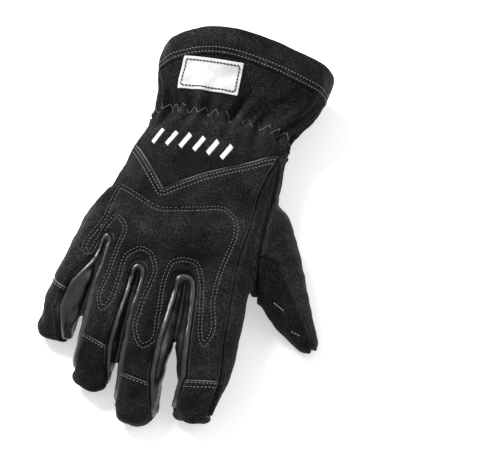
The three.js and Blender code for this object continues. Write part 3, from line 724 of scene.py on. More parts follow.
def inside_distance(outline, points, normals, reach=16.0):
    """How far each point lies inside an outline in plan, over the leather, and up to the reach."""
    corners = np.array(outline, float)
    nexts = np.roll(corners, -1, axis=0)
    x, y = points[:, 0], points[:, 1]
    inside = np.zeros(len(points), bool)
    for (ax, ay), (bx, by) in zip(corners, nexts):
        if ay == by:
            continue
        straddles = (ay > y) != (by > y)
        inside ^= straddles & (x < ax + (y - ay) * (bx - ax) / (by - ay))
    low = corners.clip(-150, 150).min(0) - reach
    high = corners.clip(-150, 150).max(0) + reach
    near = np.flatnonzero((x > low[0]) & (x < high[0]) & (y > low[1]) & (y < high[1]))
    best = np.full(len(near), reach**2)
    toward = np.zeros((len(near), 2))
    spots = points[near, :2]
    for a, b in zip(corners, nexts):
        span = b - a
        share = np.clip(((spots - a) @ span) / max(span @ span, 1e-9), 0, 1)
        off = spots - a - share[:, None] * span
        square = (off**2).sum(1)
        closer = square < best
        best[closer] = square[closer]
        toward[closer] = off[closer]
    away = np.sqrt(best)
    lean = (toward * normals[near, :2]).sum(1) / np.maximum(away, 1e-6)
    along_leather = np.sqrt(np.clip(1 - lean**2, STEEPEST**2, 1))
    distance = np.full(len(points), reach)
    distance[near] = np.minimum(away / along_leather, reach)
    return np.where(inside, distance, -distance)


SLIT_WIDTH = 2.2  # of the fold between two fingers' gussets
STEEPEST = 0.3  # the least share of a length over the leather that shows in plan
SEAM_EASE = 2.5  # how far from the side seam an edge turns from its back line to its palm line


def side_distance(points, normals):
    """How far each point lies above the side seam, over the leather."""
    rise = points[:, 2] - SIDE_SEAM_HEIGHT
    return rise / np.sqrt(np.clip(1 - normals[:, 2] ** 2, STEEPEST**2, 1))


def both_halves(side, back, palm):
    """One region above the side seam and another below it, run together softly."""
    return mix(palm, back, smooth(side, -SEAM_EASE, SEAM_EASE))


def least(*distances):
    return np.minimum.reduce(distances)


def most(*distances):
    return np.maximum.reduce(distances)


def seam_distances(points, normals):
    """Each seam's distance at each point: above 0 on the side that the seam is named for."""
    d = {"side": side_distance(points, normals)}

    def of(outline):
        return inside_distance(outline, points, normals)

    d["rim"] = -of(beyond(rim_line(0), FAR))
    d["band"] = of(beyond(rim_line(BAND_WIDTH), FAR))
    d["yoke"] = of(beyond(yoke_edge, FAR))
    d["heel"] = of(beyond(heel_edge, FAR))
    for i in range(len(FORKS)):
        d[f"fork{i}"] = both_halves(
            d["side"], of(fourchette_outline(i, "back")), of(fourchette_outline(i, "palm"))
        )
        between = finger_form(i, *points.T) - finger_form(i + 1, *points.T)
        past = FORKS[i] * PALM_LENGTH - points[:, 1]
        d[f"slit{i}"] = bell(between, SLIT_WIDTH) * smooth(past, -3, 3)
    d["strip"] = both_halves(d["side"], of(side_strip_back), of(side_strip_palm))
    d["thumb_outer"] = of(thumb_outer)
    d["thumb_inner"] = both_halves(d["side"], of(thumb_inner_back), of(thumb_inner_palm))
    for i, name in enumerate(FINGER_NAMES):
        d[f"cap_{name}"] = of(tip_outline(i, FINGERS["cap"][i], CAP_TURNS[i]))
        d[f"pad_{name}"] = of(tip_outline(i, FINGERS["pad"][i]))
    d["palm_patch"] = of(palm_patch_outline)
    d["heel_patch"] = least(of(heel_patch_outline), HEEL_PATCH_TOP - points[:, 2])
    d["label"] = of(label_outline)
    d["quilt"] = of(quilt_outline)
    d["zigzag"] = zigzag_height(points)
    d["hand"] = both_halves(d["side"], -d["yoke"], -d["heel"])
    d["forks"] = most(*(d[f"fork{i}"] for i in range(len(FORKS))))
    d["caps"] = most(*(d[f"cap_{name}"] for name in FINGER_NAMES))
    d["pads"] = most(*(d[f"pad_{name}"] for name in FINGER_NAMES))
    d["panels"] = least(d["hand"], -d["forks"], -d["strip"], -d["thumb_inner"], -d["thumb_outer"])
    return d


# The pose in which the glove lies


def curl_steps(i):
    """Along finger i: its slope, and how far its centre line has run ahead and dropped."""
    length = FINGERS["length"][i]
    rest_half = REST_THICK * FINGERS["thick"][i] * FINGER_THICKNESS / 2
    drop = (FINGER_HEIGHT + REST_PRESS - rest_half) / REST_ALONG ** (CURL_POWER + 1)
    end_slope = drop * (CURL_POWER + 1) / length
    along = np.linspace(0, 1.2 * length, 241)
    slope = end_slope * (along / length) ** CURL_POWER
    step = along[1]
    ahead = np.concatenate([[0], np.cumsum(np.cos(slope[:-1]) * step)])
    down = np.concatenate([[0], np.cumsum(np.sin(slope[:-1]) * step)])
    return along, slope, ahead, down


CURLS = [curl_steps(i) for i in range(len(FINGER_NAMES))]


def curled(points):
    """The points after the fingers are curled down."""
    total = np.zeros_like(points)
    weights = np.zeros(len(points))
    for i in range(len(FINGER_NAMES)):
        base, ahead, across = finger_frame(i)
        off = points[:, :2] - base
        along, aside = off @ ahead, off @ across
        past = np.maximum(0, np.abs(aside) - FINGERS["width"][i] / 2)
        weight = np.exp(-((past / WEB_BLEND) ** 2)) + 1e-9
        steps, slopes, aheads, downs = CURLS[i]
        slope = np.interp(along, steps, slopes)
        high = points[:, 2] - FINGER_HEIGHT
        reach = np.interp(along, steps, aheads) + high * np.sin(slope)
        moved = np.column_stack(
            [
                base + reach[:, None] * ahead + aside[:, None] * across,
                FINGER_HEIGHT - np.interp(along, steps, downs) + high * np.cos(slope),
            ]
        )
        moved = np.where((along > 0)[:, None], moved, points)
        total += moved * weight[:, None]
        weights += weight
    return total / weights[:, None]


def rested(points, floor):
    """Leather that would reach below its floor lies flat on it."""
    above = points[:, 2] - floor
    soft = np.where(above > FLOOR_EASE, above, FLOOR_EASE * np.exp(np.minimum(above / FLOOR_EASE - 1, 0)))
    return np.column_stack([points[:, :2], floor + soft])


FLOOR_EASE = 0.8  # how gently the leather leaves the floor

# Where the drawing lies in the scene: the label's middle is the same point in both
label_low, label_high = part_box("label")
ORIGIN = np.array([(label_low[k] + label_high[k]) / 2 / MM - label_centre[k] for k in range(2)] + [0.0])


# The leather's relief


def waves(points, length, seed, count=20):
    """Even, random hills and hollows of about one length, from -1 to 1."""
    random = np.random.default_rng(seed)
    ways = random.normal(size=(count, 3))
    lengths = np.linalg.norm(ways, axis=1)[:, None]
    ways *= (2 * math.pi / length) * random.uniform(0.7, 1.35, (count, 1)) / lengths
    phases = random.uniform(0, 2 * math.pi, count)
    return np.sin(points @ ways.T + phases).sum(1) / math.sqrt(count)


# Folds pressed into the leather: the face, both ends in plan as the seams have them, half its
# width and its depth in millimetres. A depth below 0 is a ridge.
FOLDS = [
    ("palm", (-0.06, 0.34), (0.02, -0.08), 4, 1.5),
    ("palm", (0.02, 0.33), (0.22, -0.22), 4, 1.5),
    ("back", (0.06, 0.38), (0.33, 0.65), 2.6, 2.2),
    ("back", (0.24, 0.38), (0.56, 0.64), 2.8, 2.4),
    ("back", (0.44, 0.38), (0.66, 0.6), 2.6, 2.2),
    ("back", (-0.19, 0.52), (-0.29, 0.34), 2.8, 1.8),
    ("back", (-0.42, 0.5), (-0.42, 0.36), 2.4, 1.5),
    ("back", (-0.54, 0.5), (-0.6, 0.28), 2.8, 1.8),
    ("back", (-0.9, 0.6), (-0.45, 0.5), 3.5, 1.6),
    ("back", (1.04, 0.88), (0.83, 0.6), 3.4, -3.2),
    ("back", (0.9, 0.68), (0.7, 0.44), 3.4, -3.2),
    ("back", (0.72, 0.54), (0.73, 0.3), 3.2, -2.6),
]
ELASTIC_AT = 0.46 * CUFF_LENGTH
ELASTIC_REACH = 12.0
ZIGZAG_REACH = 2.75
ZIGZAG_PITCH = 6.8
ZIGZAG_FROM = -43.0
WRIST_ROUND = 40.0  # the wrist's mean radius

# The embroidery's plain bars, and the short stitches on the thumb, in millimetres
BARS = 6
BARS_FROM = (-35.0, 21.5)
BARS_RISE = -0.4
BAR_PITCH = 9.8
BAR_WIDTH = 4.6
BAR_HEIGHT = 12.0
BAR_SLANT = math.radians(20)
THUMB_MARKS = {
    "start": [(72.1, -71.0), (88.3, -85.1)],
    "end": [(78.6, -74.0), (92.7, -86.0)],
}
GATHER_DEPTH = 1.8
GATHER_SWAY = 0.35
PUCKERS = (17, 29)  # large and small ones, round the wrist
SMALL_PUCKERS = 0.7
ELASTIC_DEPTH = 0.9
ELASTIC_HALF_WIDTH = 4
HILLS = [(0.6, 34, 3), (0.3, 14, 4), (0.07, 5, 5)]  # height, length and seed


def fold_relief(points, normals):
    height = np.zeros(len(points))
    for face, start, end, reach, depth in FOLDS:
        a, b = np.array(plan(start)), np.array(plan(end))
        span = b - a
        off = points[:, :2] - a
        share = np.clip(off @ span / (span @ span), 0, 1)
        away = np.linalg.norm(off - share[:, None] * span, axis=1)
        facing = np.clip(normals[:, 2] if face == "back" else -normals[:, 2], 0, 1)
        height -= depth * facing * bell(away, reach) * np.sqrt(np.sin(math.pi * share))
    return height


def round_wrist(points):
    """The angle at which a point lies round the wrist."""
    body = station_at(points[:, 0], points[:, 1])
    centre = through(BODY["y"], BODY["centre"], body)
    half = through(BODY["y"], BODY["half"], body)
    return np.arctan2((points[:, 2] - WRIST_HEIGHT / 2) / WRIST_HEIGHT, (points[:, 0] - centre) / half / 2)


def zigzag_height(points):
    """How far a point lies from the zigzag thread over the elastic, along the cuff."""
    turns = round_wrist(points) * WRIST_ROUND / ZIGZAG_PITCH
    return points[:, 1] - ELASTIC_AT - ZIGZAG_REACH * (4 * np.abs(turns - np.floor(turns) - 0.5) - 1)


def gather_relief(points):
    """Puckers over the wrist's elastic, which run along the cuff."""
    round_at = round_wrist(points)
    sway = GATHER_SWAY * waves(points, 60, 11)
    large = np.sin(PUCKERS[0] * round_at + 3 * sway)
    small = SMALL_PUCKERS * np.sin(PUCKERS[1] * round_at + 1 - 2 * sway)
    away = np.abs(points[:, 1] - ELASTIC_AT)
    tight = bell(away, ELASTIC_REACH)
    wide = bell(away, 2.2 * ELASTIC_REACH)
    drawn_in = ELASTIC_DEPTH * bell(away, ELASTIC_HALF_WIDTH)
    return GATHER_DEPTH * (0.65 * tight + 0.35 * wide) * (large + small) - drawn_in


def soft_relief(points, normals):
    """What the hand's work has left in the leather: hills, folds and puckers."""
    hills = sum(height * waves(points, length, seed) for height, length, seed in HILLS)
    return hills + fold_relief(points, normals) + gather_relief(points)


# Seams: how the leather's edge looks there
SEAM_DEPTH = 1.5
SEAM_REACH = 1.7
ROLL_HEIGHT = 0.8
ROLL_AT = 2.6
EDGE_ROUND = 0.75
EDGE_RINGS = (0.1, 0.35, 0.8)


def turned_seam(distance):
    """Leather turned in at a seam, with the roll beside it."""
    return ROLL_HEIGHT * bell(distance - ROLL_AT, 1.6) - SEAM_DEPTH * bell(distance, SEAM_REACH)


def rounded_edge(distance, radius):
    """How far a cut edge is rounded off."""
    left = np.clip(radius - distance, 0, radius)
    return np.sqrt(np.maximum(radius**2 - left**2, 0)) - radius


QUILT_PUFF = 1.1
QUILT_FILLS = 9  # how far inside its edge the pad is full
QUILT_CHANNEL = 0.9
QUILT_ROWS = 1.3
QUILT_ROW_DEPTH = 0.35


def quilt_relief(distance):
    puffed = QUILT_PUFF * smooth(distance, 0, QUILT_FILLS)
    rows = QUILT_ROW_DEPTH * bell(np.abs(distance) - QUILT_ROWS, 0.8)
    return puffed - QUILT_CHANNEL * bell(distance, 1.1) - rows


def stitch_channel(distance, at):
    """Thread pulls the leather in along a row of stitches."""
    return -0.3 * bell(distance - at, 0.9)


# A mesh as a table of point values and triangles

LEAST_VALUE = 0.02  # a cut keeps this far from the mesh's own points, in millimetres
LEAST_LEVEL = 0.005  # and so does a row of stitches


def cut_edges(tris, value, number):
    """The triangles that value 0 cuts, each with its lone corner first, and the cuts on their edges."""
    above = value > 0
    mixed = tris[np.isin(above[tris].sum(1), (1, 2))]
    lone_above = above[mixed].sum(1) == 1
    lone = np.argmax(above[mixed] == lone_above[:, None], axis=1)
    turned = np.stack([mixed[np.arange(len(mixed)), (lone + k) % 3] for k in range(3)], 1)
    pairs = np.concatenate([turned[:, [0, 1]], turned[:, [0, 2]]])
    pairs.sort(axis=1)
    keys, where = np.unique(pairs[:, 0] * number + pairs[:, 1], return_inverse=True)
    a, b = keys // number, keys % number
    share = (value[a] / (value[a] - value[b]))[:, None]
    first, second = where[: len(mixed)], where[len(mixed) :]
    return turned, lone_above, (a, b, share), first, second


class Sheet:
    """A patch of the glove's surface: its points, and their values by name."""

    def __init__(self, names, table, tris):
        self.names = names
        self.table = table
        self.tris = tris

    def __getitem__(self, name):
        return self.table[:, self.names[name]]

    def points(self):
        return self.table[:, :3]

    def normals(self):
        return self.table[:, 3:6]

    def split(self, value, drop):
        """Cuts the triangles along value 0, and drops those below it."""
        value = np.where(np.abs(value) < LEAST_VALUE, LEAST_VALUE, value)
        kinds = (value > 0)[self.tris].sum(1)
        whole = self.tris[kinds == 3] if drop else self.tris[(kinds == 3) | (kinds == 0)]
        number = len(self.table)
        turned, lone_above, (a, b, share), first, second = cut_edges(self.tris, value, number)
        if not len(turned):
            return self.kept(whole)
        self.table = np.concatenate([self.table, mix(self.table[a], self.table[b], share)])
        first = number + first
        second = number + second
        lone_tris = np.stack([turned[:, 0], first, second], 1)
        rest = np.concatenate(
            [
                np.stack([first, turned[:, 1], turned[:, 2]], 1),
                np.stack([first, turned[:, 2], second], 1),
            ]
        )
        if drop:
            keep = [whole, lone_tris[lone_above], rest[~np.tile(lone_above, 2)]]
        else:
            keep = [whole, lone_tris, rest]
        return self.kept(np.concatenate(keep))

    def kept(self, tris):
        used = np.unique(tris)
        number = np.full(len(self.table), -1)
        number[used] = np.arange(len(used))
        return Sheet(self.names, self.table[used], number[tris])

    def largest(self):
        """The largest connected part, without the slivers that seams cut off."""
        label = np.arange(len(self.table))
        edges = np.concatenate([self.tris[:, [0, 1]], self.tris[:, [1, 2]]])
        while True:
            low = np.minimum(label[edges[:, 0]], label[edges[:, 1]])
            new = label.copy()
            np.minimum.at(new, label[edges[:, 0]], low)
            np.minimum.at(new, label[edges[:, 1]], low)
            new = new[new]
            if (new == label).all():
                break
            label = new
        groups = label[self.tris[:, 0]]
        return self.kept(self.tris[groups == np.bincount(groups).argmax()])

    def border(self):
        """The edges that only one triangle has, in its direction."""
        edges = np.concatenate([self.tris[:, [0, 1]], self.tris[:, [1, 2]], self.tris[:, [2, 0]]])
        number = len(self.table)
        forward = edges[:, 0] * number + edges[:, 1]
        backward = edges[:, 1] * number + edges[:, 0]
        return edges[~np.isin(forward, backward)]


def whole_surface():
    """The glove's outer surface, with every seam's distance and the soft relief on it."""
    values, corner = sampled_form()
    points, quads = surface_nets(values, corner)
    points = evened(points, quads)
    tris = np.concatenate([quads[:, [0, 1, 2]], quads[:, [0, 2, 3]]])
    normals = normals_of(points, tris)
    distances = seam_distances(points, normals)
    distances["soft"] = soft_relief(points, normals)
    names = {name: 6 + k for k, name in enumerate(distances)}
    table = np.column_stack([points, normals] + list(distances.values()))
    return Sheet(names, table, tris)


def new_object(name, data):
    """An object that shows the data, in the scene."""
    obj = bpy.data.objects.new(name, data)
    bpy.context.scene.collection.objects.link(obj)
    return obj


def mesh_object(name, points, tris):
    """A mesh object from points in the drawing's millimetres and triangles, at the origin."""
    mesh = bpy.data.meshes.new(name)
    placed = ((np.asarray(points) + ORIGIN) * MM).astype(np.float32)
    mesh.vertices.add(len(placed))
    mesh.vertices.foreach_set("co", placed.ravel())
    mesh.loops.add(len(tris) * 3)
    mesh.loops.foreach_set("vertex_index", np.asarray(tris, np.int32).ravel())
    mesh.polygons.add(len(tris))
    mesh.polygons.foreach_set("loop_start", np.arange(0, len(tris) * 3, 3, dtype=np.int32))
    mesh.update(calc_edges=True)
    mesh.validate()
    mesh.shade_smooth()
    return new_object(name, mesh)


def add_values(obj, name, values):
    """Stores a value for each point, for the material to read."""
    attribute = obj.data.attributes.new(name, "FLOAT", "POINT")
    attribute.data.foreach_set("value", np.asarray(values, np.float32))


PANELS = {}  # each made panel's outer surface, straight and as it lies
INNER_SHARE = 0.6  # how much of the relief the leather's inner side follows


def floor_under(sheet):
    """The height at which the panel's leather lies: on the heel patch where that lies under it."""
    return (OVERLAY + OVERLAY_CLEAR) * smooth(sheet["heel_patch"], -3, 0)


def make_panel(
    name, region, relief, wall=WALL, over=0.0, edge=EDGE_ROUND, material=None, wear_and_highlight=None
):
    """A leather panel: the region of the surface, raised by its relief, with a wall behind it."""
    whole = Sheet(SURFACE.names, SURFACE.table.copy(), SURFACE.tris)
    sheet = whole.split(region(SURFACE) - SEAM_HALF_GAP, True).largest()
    for ring in EDGE_RINGS:
        sheet = sheet.split(region(sheet) - SEAM_HALF_GAP - ring, False)
    to_edge = region(sheet) - SEAM_HALF_GAP
    points, normals = sheet.points(), sheet.normals()
    shaped = sheet["soft"] + relief(sheet)
    outer_height = shaped + over + rounded_edge(to_edge, edge)
    inner_height = shaped * INNER_SHARE + over - wall
    floor = floor_under(sheet) if over == 0 else np.zeros(len(points))
    outer = points + normals * outer_height[:, None]
    lying = rested(curled(outer), floor)
    under = rested(curled(points + normals * inner_height[:, None]), floor + wall)
    number = len(points)
    border = sheet.border()
    tris = np.concatenate(
        [
            sheet.tris,
            sheet.tris[:, ::-1] + number,
            np.column_stack([border[:, 1], border[:, 0], border[:, 0] + number]),
            np.column_stack([border[:, 1], border[:, 0] + number, border[:, 1] + number]),
        ]
    )
    obj = mesh_object(name + "_piece", np.concatenate([lying, under]), tris)
    add_values(obj, "to_edge", np.concatenate([to_edge, np.zeros(number)]))
    # How much lighter each point shows at raw edges and seams: partly wear, partly a painted highlight.
    wear_and_highlight_values = wear_and_highlight(sheet) if wear_and_highlight else np.zeros(number)
    add_values(obj, "wear_and_highlight", np.concatenate([wear_and_highlight_values, np.zeros(number)]))
    add_values(obj, "inside", np.concatenate([np.zeros(number), np.ones(number)]))
    obj.data.materials.append(material or SUEDE)
    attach(obj, "root")
    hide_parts(name)
    PANELS[name] = (sheet, outer, lying)
    return obj


# Materials


def set_inputs(node, values):
    for name, value in values.items():
        node.inputs[name].default_value = value


class Finish:
    """A material, with helpers that add its nodes."""

    def __init__(self, name):
        self.material = bpy.data.materials.new(name)
        self.material.use_nodes = True
        self.nodes = self.material.node_tree.nodes
        self.links = self.material.node_tree.links
        self.shader = self.nodes["Principled BSDF"]

    def place(self):
        """The object's own coordinates."""
        return self.nodes.new("ShaderNodeTexCoord").outputs["Object"]

    def stored(self, name):
        """A value that the mesh stores for each point."""
        node = self.nodes.new("ShaderNodeAttribute")
        node.attribute_name = name
        return node.outputs["Fac"]

    def noise(self, scale, detail=2.0, roughness=0.5):
        """Noise at so many bumps to a metre."""
        node = self.nodes.new("ShaderNodeTexNoise")
        set_inputs(node, {"Scale": scale, "Detail": detail, "Roughness": roughness})
        self.links.new(self.place(), node.inputs["Vector"])
        return node.outputs["Fac"]

    def ramp(self, source, *stops):
        """Colours by value: each of the two stops is a value and a grey or a colour."""
        node = self.nodes.new("ShaderNodeValToRGB")
        for element, (at, colour) in zip(node.color_ramp.elements, stops):
            element.position = at
            shade = colour if isinstance(colour, tuple) else (colour, colour, colour)
            element.color = (*shade, 1)
        self.links.new(source, node.inputs["Fac"])
        return node.outputs["Color"]

    def feed(self, sockets, values):
        """Gives each socket a number, a colour or another node's output."""
        for socket, value in zip(sockets, values):
            if isinstance(value, bpy.types.NodeSocket):
                self.links.new(value, socket)
            elif isinstance(value, tuple):
                socket.default_value = (*value, 1)
            else:
                socket.default_value = value

    def blend(self, factor, first, second, kind="MIX"):
        """Two colours mixed by a factor."""
        node = self.nodes.new("ShaderNodeMix")
        node.data_type = "RGBA"
        node.blend_type = kind
        self.feed([s for s in node.inputs if s.enabled], (factor, first, second))
        return next(s for s in node.outputs if s.enabled)

    def times(self, first, second):
        """One colour multiplied by another."""
        return self.blend(1.0, first, second, "MULTIPLY")

    def product(self, first, second):
        """Two values multiplied."""
        node = self.nodes.new("ShaderNodeMath")
        node.operation = "MULTIPLY"
        self.feed(node.inputs, (first, second))
        return node.outputs[0]

    def colour(self, source):
        self.links.new(source, self.shader.inputs["Base Color"])

    def bumps(self, *layers):
        """Stacks bumps: each layer is a height output, a strength and a distance in metres."""
        normal = None
        for height, strength, distance in layers:
            node = self.nodes.new("ShaderNodeBump")
            set_inputs(node, {"Strength": strength, "Distance": distance})
            self.links.new(height, node.inputs["Height"])
            if normal:
                self.links.new(normal, node.inputs["Normal"])
            normal = node.outputs["Normal"]
        self.links.new(normal, self.shader.inputs["Normal"])


# How fine the suede's marks are, in bumps to a metre
FIBRES = 1250
TUFTS = 620
PATCHES = 55
HAND_MARKS = 20
SUEDE_TINT = (0.97, 0.98, 1.05)
# The grey that raw edges and seams turn to: partly the suede's wear, partly a painted highlight.
SUEDE_WEAR_AND_HIGHLIGHT = (0.27, 0.27, 0.28)
SHEEN_TINT = (0.8, 0.82, 0.88, 1)


def suede_finish(name, dark=0.0018, light=0.008, tip=0.045, sheen=0.085):
    """Black split suede: a short matt nap with grey fibre tips, lighter along raw edges and seams, partly
    as wear and partly as a painted highlight.
    """
    finish = Finish(name)
    fibres = finish.noise(FIBRES, 3, 0.65)
    tufts = finish.noise(TUFTS, 4, 0.6)
    patches = finish.noise(PATCHES, 3, 0.55)
    hand_marks = finish.noise(HAND_MARKS)
    nap = finish.ramp(tufts, (0.25, dark), (0.8, light))
    tips = finish.ramp(fibres, (0.5, 0.0), (0.74, tip))
    brushed = finish.ramp(patches, (0.35, 0.6), (0.68, 1.5))
    swept = finish.ramp(hand_marks, (0.38, 0.7), (0.64, 1.5))
    # Raw edges and seams lighter: partly wear, partly a painted highlight.
    wear_and_highlight_share = finish.product(finish.stored("wear_and_highlight"), 0.85)
    colour = finish.blend(1.0, nap, tips, "ADD")
    colour = finish.times(finish.times(colour, brushed), swept)
    colour = finish.times(colour, SUEDE_TINT)
    finish.colour(finish.blend(wear_and_highlight_share, colour, SUEDE_WEAR_AND_HIGHLIGHT))
    set_inputs(finish.shader, {"Roughness": 0.93, "Specular IOR Level": 0.1})
    set_inputs(finish.shader, {"Sheen Weight": sheen, "Sheen Roughness": 0.42, "Sheen Tint": SHEEN_TINT})
    finish.bumps((tufts, 0.55, 0.0006), (fibres, 0.5, 0.00035))
    return finish.material


# How fine the smooth leather's marks are, in bumps to a metre
PORES = 1150
CREASES = 190
CLOUDS = 60
# The grey that edges and seams turn to: partly the leather's wear, partly a painted highlight.
GRAIN_WEAR_AND_HIGHLIGHT = (0.09, 0.09, 0.095)


def grain_finish(name):
    """Smooth black leather with a fine grain, a soft shine and creases."""
    finish = Finish(name)
    pores = finish.nodes.new("ShaderNodeTexVoronoi")
    pores.feature = "DISTANCE_TO_EDGE"
    set_inputs(pores, {"Scale": PORES})
    finish.links.new(finish.place(), pores.inputs["Vector"])
    creases = finish.noise(CREASES, 4, 0.6)
    clouds = finish.noise(CLOUDS)
    colour = finish.ramp(clouds, (0.3, 0.003), (0.75, 0.0065))
    # Edges and seams lighter: partly wear, partly a painted highlight.
    wear_and_highlight_share = finish.product(finish.stored("wear_and_highlight"), 0.5)
    finish.colour(finish.blend(wear_and_highlight_share, colour, GRAIN_WEAR_AND_HIGHLIGHT))
    shine = finish.ramp(creases, (0.3, 0.28), (0.75, 0.44))
    finish.links.new(shine, finish.shader.inputs["Roughness"])
    set_inputs(finish.shader, {"Specular IOR Level": 0.8, "Coat Weight": 0.3, "Coat Roughness": 0.26})
    pore_height = finish.ramp(pores.outputs["Distance"], (0.0, 0.0), (0.25, 1.0))
    finish.bumps((creases, 0.22, 0.0009), (pore_height, 0.16, 0.0003))
    return finish.material


THREAD_TWIST = 2600  # bumps to a metre
TWIST_SHADE = 0.72


def thread_finish(name, colour, roughness=0.55):
    """Twisted sewing thread."""
    finish = Finish(name)
    twist = finish.noise(THREAD_TWIST)
    low = tuple(c * TWIST_SHADE for c in colour)
    finish.colour(finish.ramp(twist, (0.35, low), (0.65, colour)))
    set_inputs(finish.shader, {"Roughness": roughness})
    finish.bumps((twist, 0.4, 0.0002))
    return finish.material


LABEL_RIBS = 900
LABEL_CLOUDS = 120


def label_finish(name):
    """White woven tape: fine ribs both ways."""
    finish = Finish(name)
    mapping = finish.nodes.new("ShaderNodeMapping")
    set_inputs(mapping, {"Rotation": (0, 0, -LABEL_TURN)})
    finish.links.new(finish.place(), mapping.inputs["Vector"])
    ribs = []
    for direction in ("X", "Y"):
        wave = finish.nodes.new("ShaderNodeTexWave")
        wave.bands_direction = direction
        set_inputs(wave, {"Scale": LABEL_RIBS, "Distortion": 0.6})
        finish.links.new(mapping.outputs["Vector"], wave.inputs["Vector"])
        ribs.append(wave.outputs["Fac"])
    weave = finish.product(*ribs)
    clouds = finish.noise(LABEL_CLOUDS, 3)
    colour = finish.ramp(clouds, (0.3, (0.66, 0.66, 0.66)), (0.7, (0.72, 0.72, 0.71)))
    shaded = finish.ramp(weave, (0.0, 0.86), (0.6, 1.0))
    finish.colour(finish.times(colour, shaded))
    set_inputs(finish.shader, {"Roughness": 0.75})
    finish.bumps((weave, 0.35, 0.0003))
    return finish.material


SUEDE = suede_finish("black_suede")
# A lighter copy of the suede, for the thumb's outer panel: painted light.
PAINTED_LIGHT_THUMB_SUEDE = suede_finish("thumb_suede_painted_light", 0.003, 0.011, 0.05, 0.12)
# A darker copy of the suede, for the wrist's back panel: painted shade.
PAINTED_SHADE_WRIST_SUEDE = suede_finish("wrist_suede_painted_shade", 0.0014, 0.006, 0.036, 0.06)
# A darker copy of the suede, for the thumb's inner panel: painted shade.
PAINTED_SHADE_THUMB_SUEDE = suede_finish("thumb_suede_painted_shade", 0.001, 0.004, 0.025, 0.05)
GRAIN = grain_finish("smooth_black_leather")
GREY_THREAD = thread_finish("grey_thread", (0.26, 0.26, 0.265))
DIM_THREAD = thread_finish("dim_thread", (0.17, 0.17, 0.175))
BLACK_THREAD = thread_finish("black_thread", (0.02, 0.02, 0.022))
WHITE_THREAD = thread_finish("white_thread", (0.86, 0.86, 0.85), 0.45)
WOVEN = label_finish("white_woven_tape")

# The panels

SURFACE = whole_surface()


def sewn_sides(sheet):
    """The distance to the seams that are turned in, on the hand's panels."""
    return least(-sheet["forks"], -sheet["strip"], -sheet["thumb_inner"], -sheet["thumb_outer"])


# The rows of stitches, by their distances from the seams
HEM_ROWS = (1.8, 4.8)
YOKE_ROWS = (2.6, 5.2)
CAP_ROWS = (1.7,)
INDEX_CAP_ROWS = (1.5, 4.1)
PATCH_ROWS = (2.4, 4.8)
HEEL_ROWS = (2.4,)
LABEL_ROWS = (2.4,)


def channels(distance, rows):
    return sum(stitch_channel(distance, at) for at in rows)


TUCKED = 2.5  # how far the wrist's panels reach in under the hem and under the hand's back
TUCK_EASE = 0.5
BAND_STANDS = 0.7  # how far the hem stands out, and the wrist's panels lie in under it
YOKE_STANDS = 0.9  # the same for the hand's back over the wrist
YOKE_FADES = (1.5, 13)
RIM_ROUND = 1.6
WRIST_SEAMS = 0.7  # how deep the wrist's seams are, as a share of the hand's
TIP_TUCK = 0.5  # how far the leather lies in beside a fingertip's cap or pad
TIP_TUCK_REACH = 2
PATCH_BED = 0.5  # how far the palm lies in under its patch
TIP_STANDS = 0.8
TIP_FADES = (1, 8)
TIP_LUMPS = 0.6
TIP_LUMP_LENGTH = 17


def tucked_in(distance):
    """1 where a panel lies in under its neighbour."""
    return smooth(distance, -TUCKED, TUCK_EASE)


def band_relief(sheet):
    rounded = rounded_edge(np.maximum(sheet["rim"], 0), RIM_ROUND)
    return BAND_STANDS + channels(sheet["band"], HEM_ROWS) + rounded


def wrist_relief(sheet):
    side = WRIST_SEAMS * turned_seam(np.abs(sheet["side"]))
    return side - BAND_STANDS * tucked_in(sheet["band"]) - YOKE_STANDS * tucked_in(-sheet["yoke"])


def wrist_palm_relief(sheet):
    side = WRIST_SEAMS * turned_seam(np.abs(sheet["side"]))
    heel = WRIST_SEAMS * turned_seam(np.abs(sheet["heel"]))
    return side + heel - BAND_STANDS * tucked_in(sheet["band"])


def back_relief(sheet):
    sewn = turned_seam(np.maximum(least(sewn_sides(sheet), sheet["side"]), 0))
    lifted = YOKE_STANDS * (1 - smooth(-sheet["yoke"], *YOKE_FADES)) + channels(-sheet["yoke"], YOKE_ROWS)
    tucked = -TIP_TUCK * bell(sheet["caps"], TIP_TUCK_REACH)
    return sewn + lifted + tucked + quilt_relief(sheet["quilt"])


def palm_relief(sheet):
    sewn = turned_seam(np.maximum(least(sewn_sides(sheet), -sheet["side"]), 0))
    tucked = -TIP_TUCK * bell(sheet["pads"], TIP_TUCK_REACH)
    return sewn + tucked - PATCH_BED * smooth(sheet["palm_patch"], -1, 1)


def tip_relief(kind, rows):
    """A fingertip's cap or pad, laid over the finger with a raw edge."""

    def relief(sheet):
        sewn = turned_seam(np.maximum(least(sewn_sides(sheet), np.abs(sheet["side"])), 0))
        lifted = TIP_STANDS * (1 - smooth(sheet[kind], *TIP_FADES)) + channels(sheet[kind], rows)
        return sewn + lifted + TIP_LUMPS * waves(sheet.points(), TIP_LUMP_LENGTH, 31)

    return relief


SLIT_DEPTH = 3.6
GUSSET_ROLL = 1.5
GUSSET_ROLL_AT = 2.4
GUSSET_WAVES = 0.4
GUSSET_WAVE_LENGTH = 18


def gusset_relief(i):
    """A gusset: rolled beside its seams, creased, and folded in between the fingers."""

    def relief(sheet):
        distance = np.maximum(sheet[f"fork{i}"], 0)
        roll = GUSSET_ROLL * bell(distance - GUSSET_ROLL_AT, 2.0) - bell(distance, 1.0)
        soft = GUSSET_WAVES * waves(sheet.points(), GUSSET_WAVE_LENGTH, 21) * smooth(distance, 2, 6)
        return roll + soft - SLIT_DEPTH * sheet[f"slit{i}"]

    return relief


def strip_relief(sheet):
    return turned_seam(np.maximum(sheet["strip"], 0))


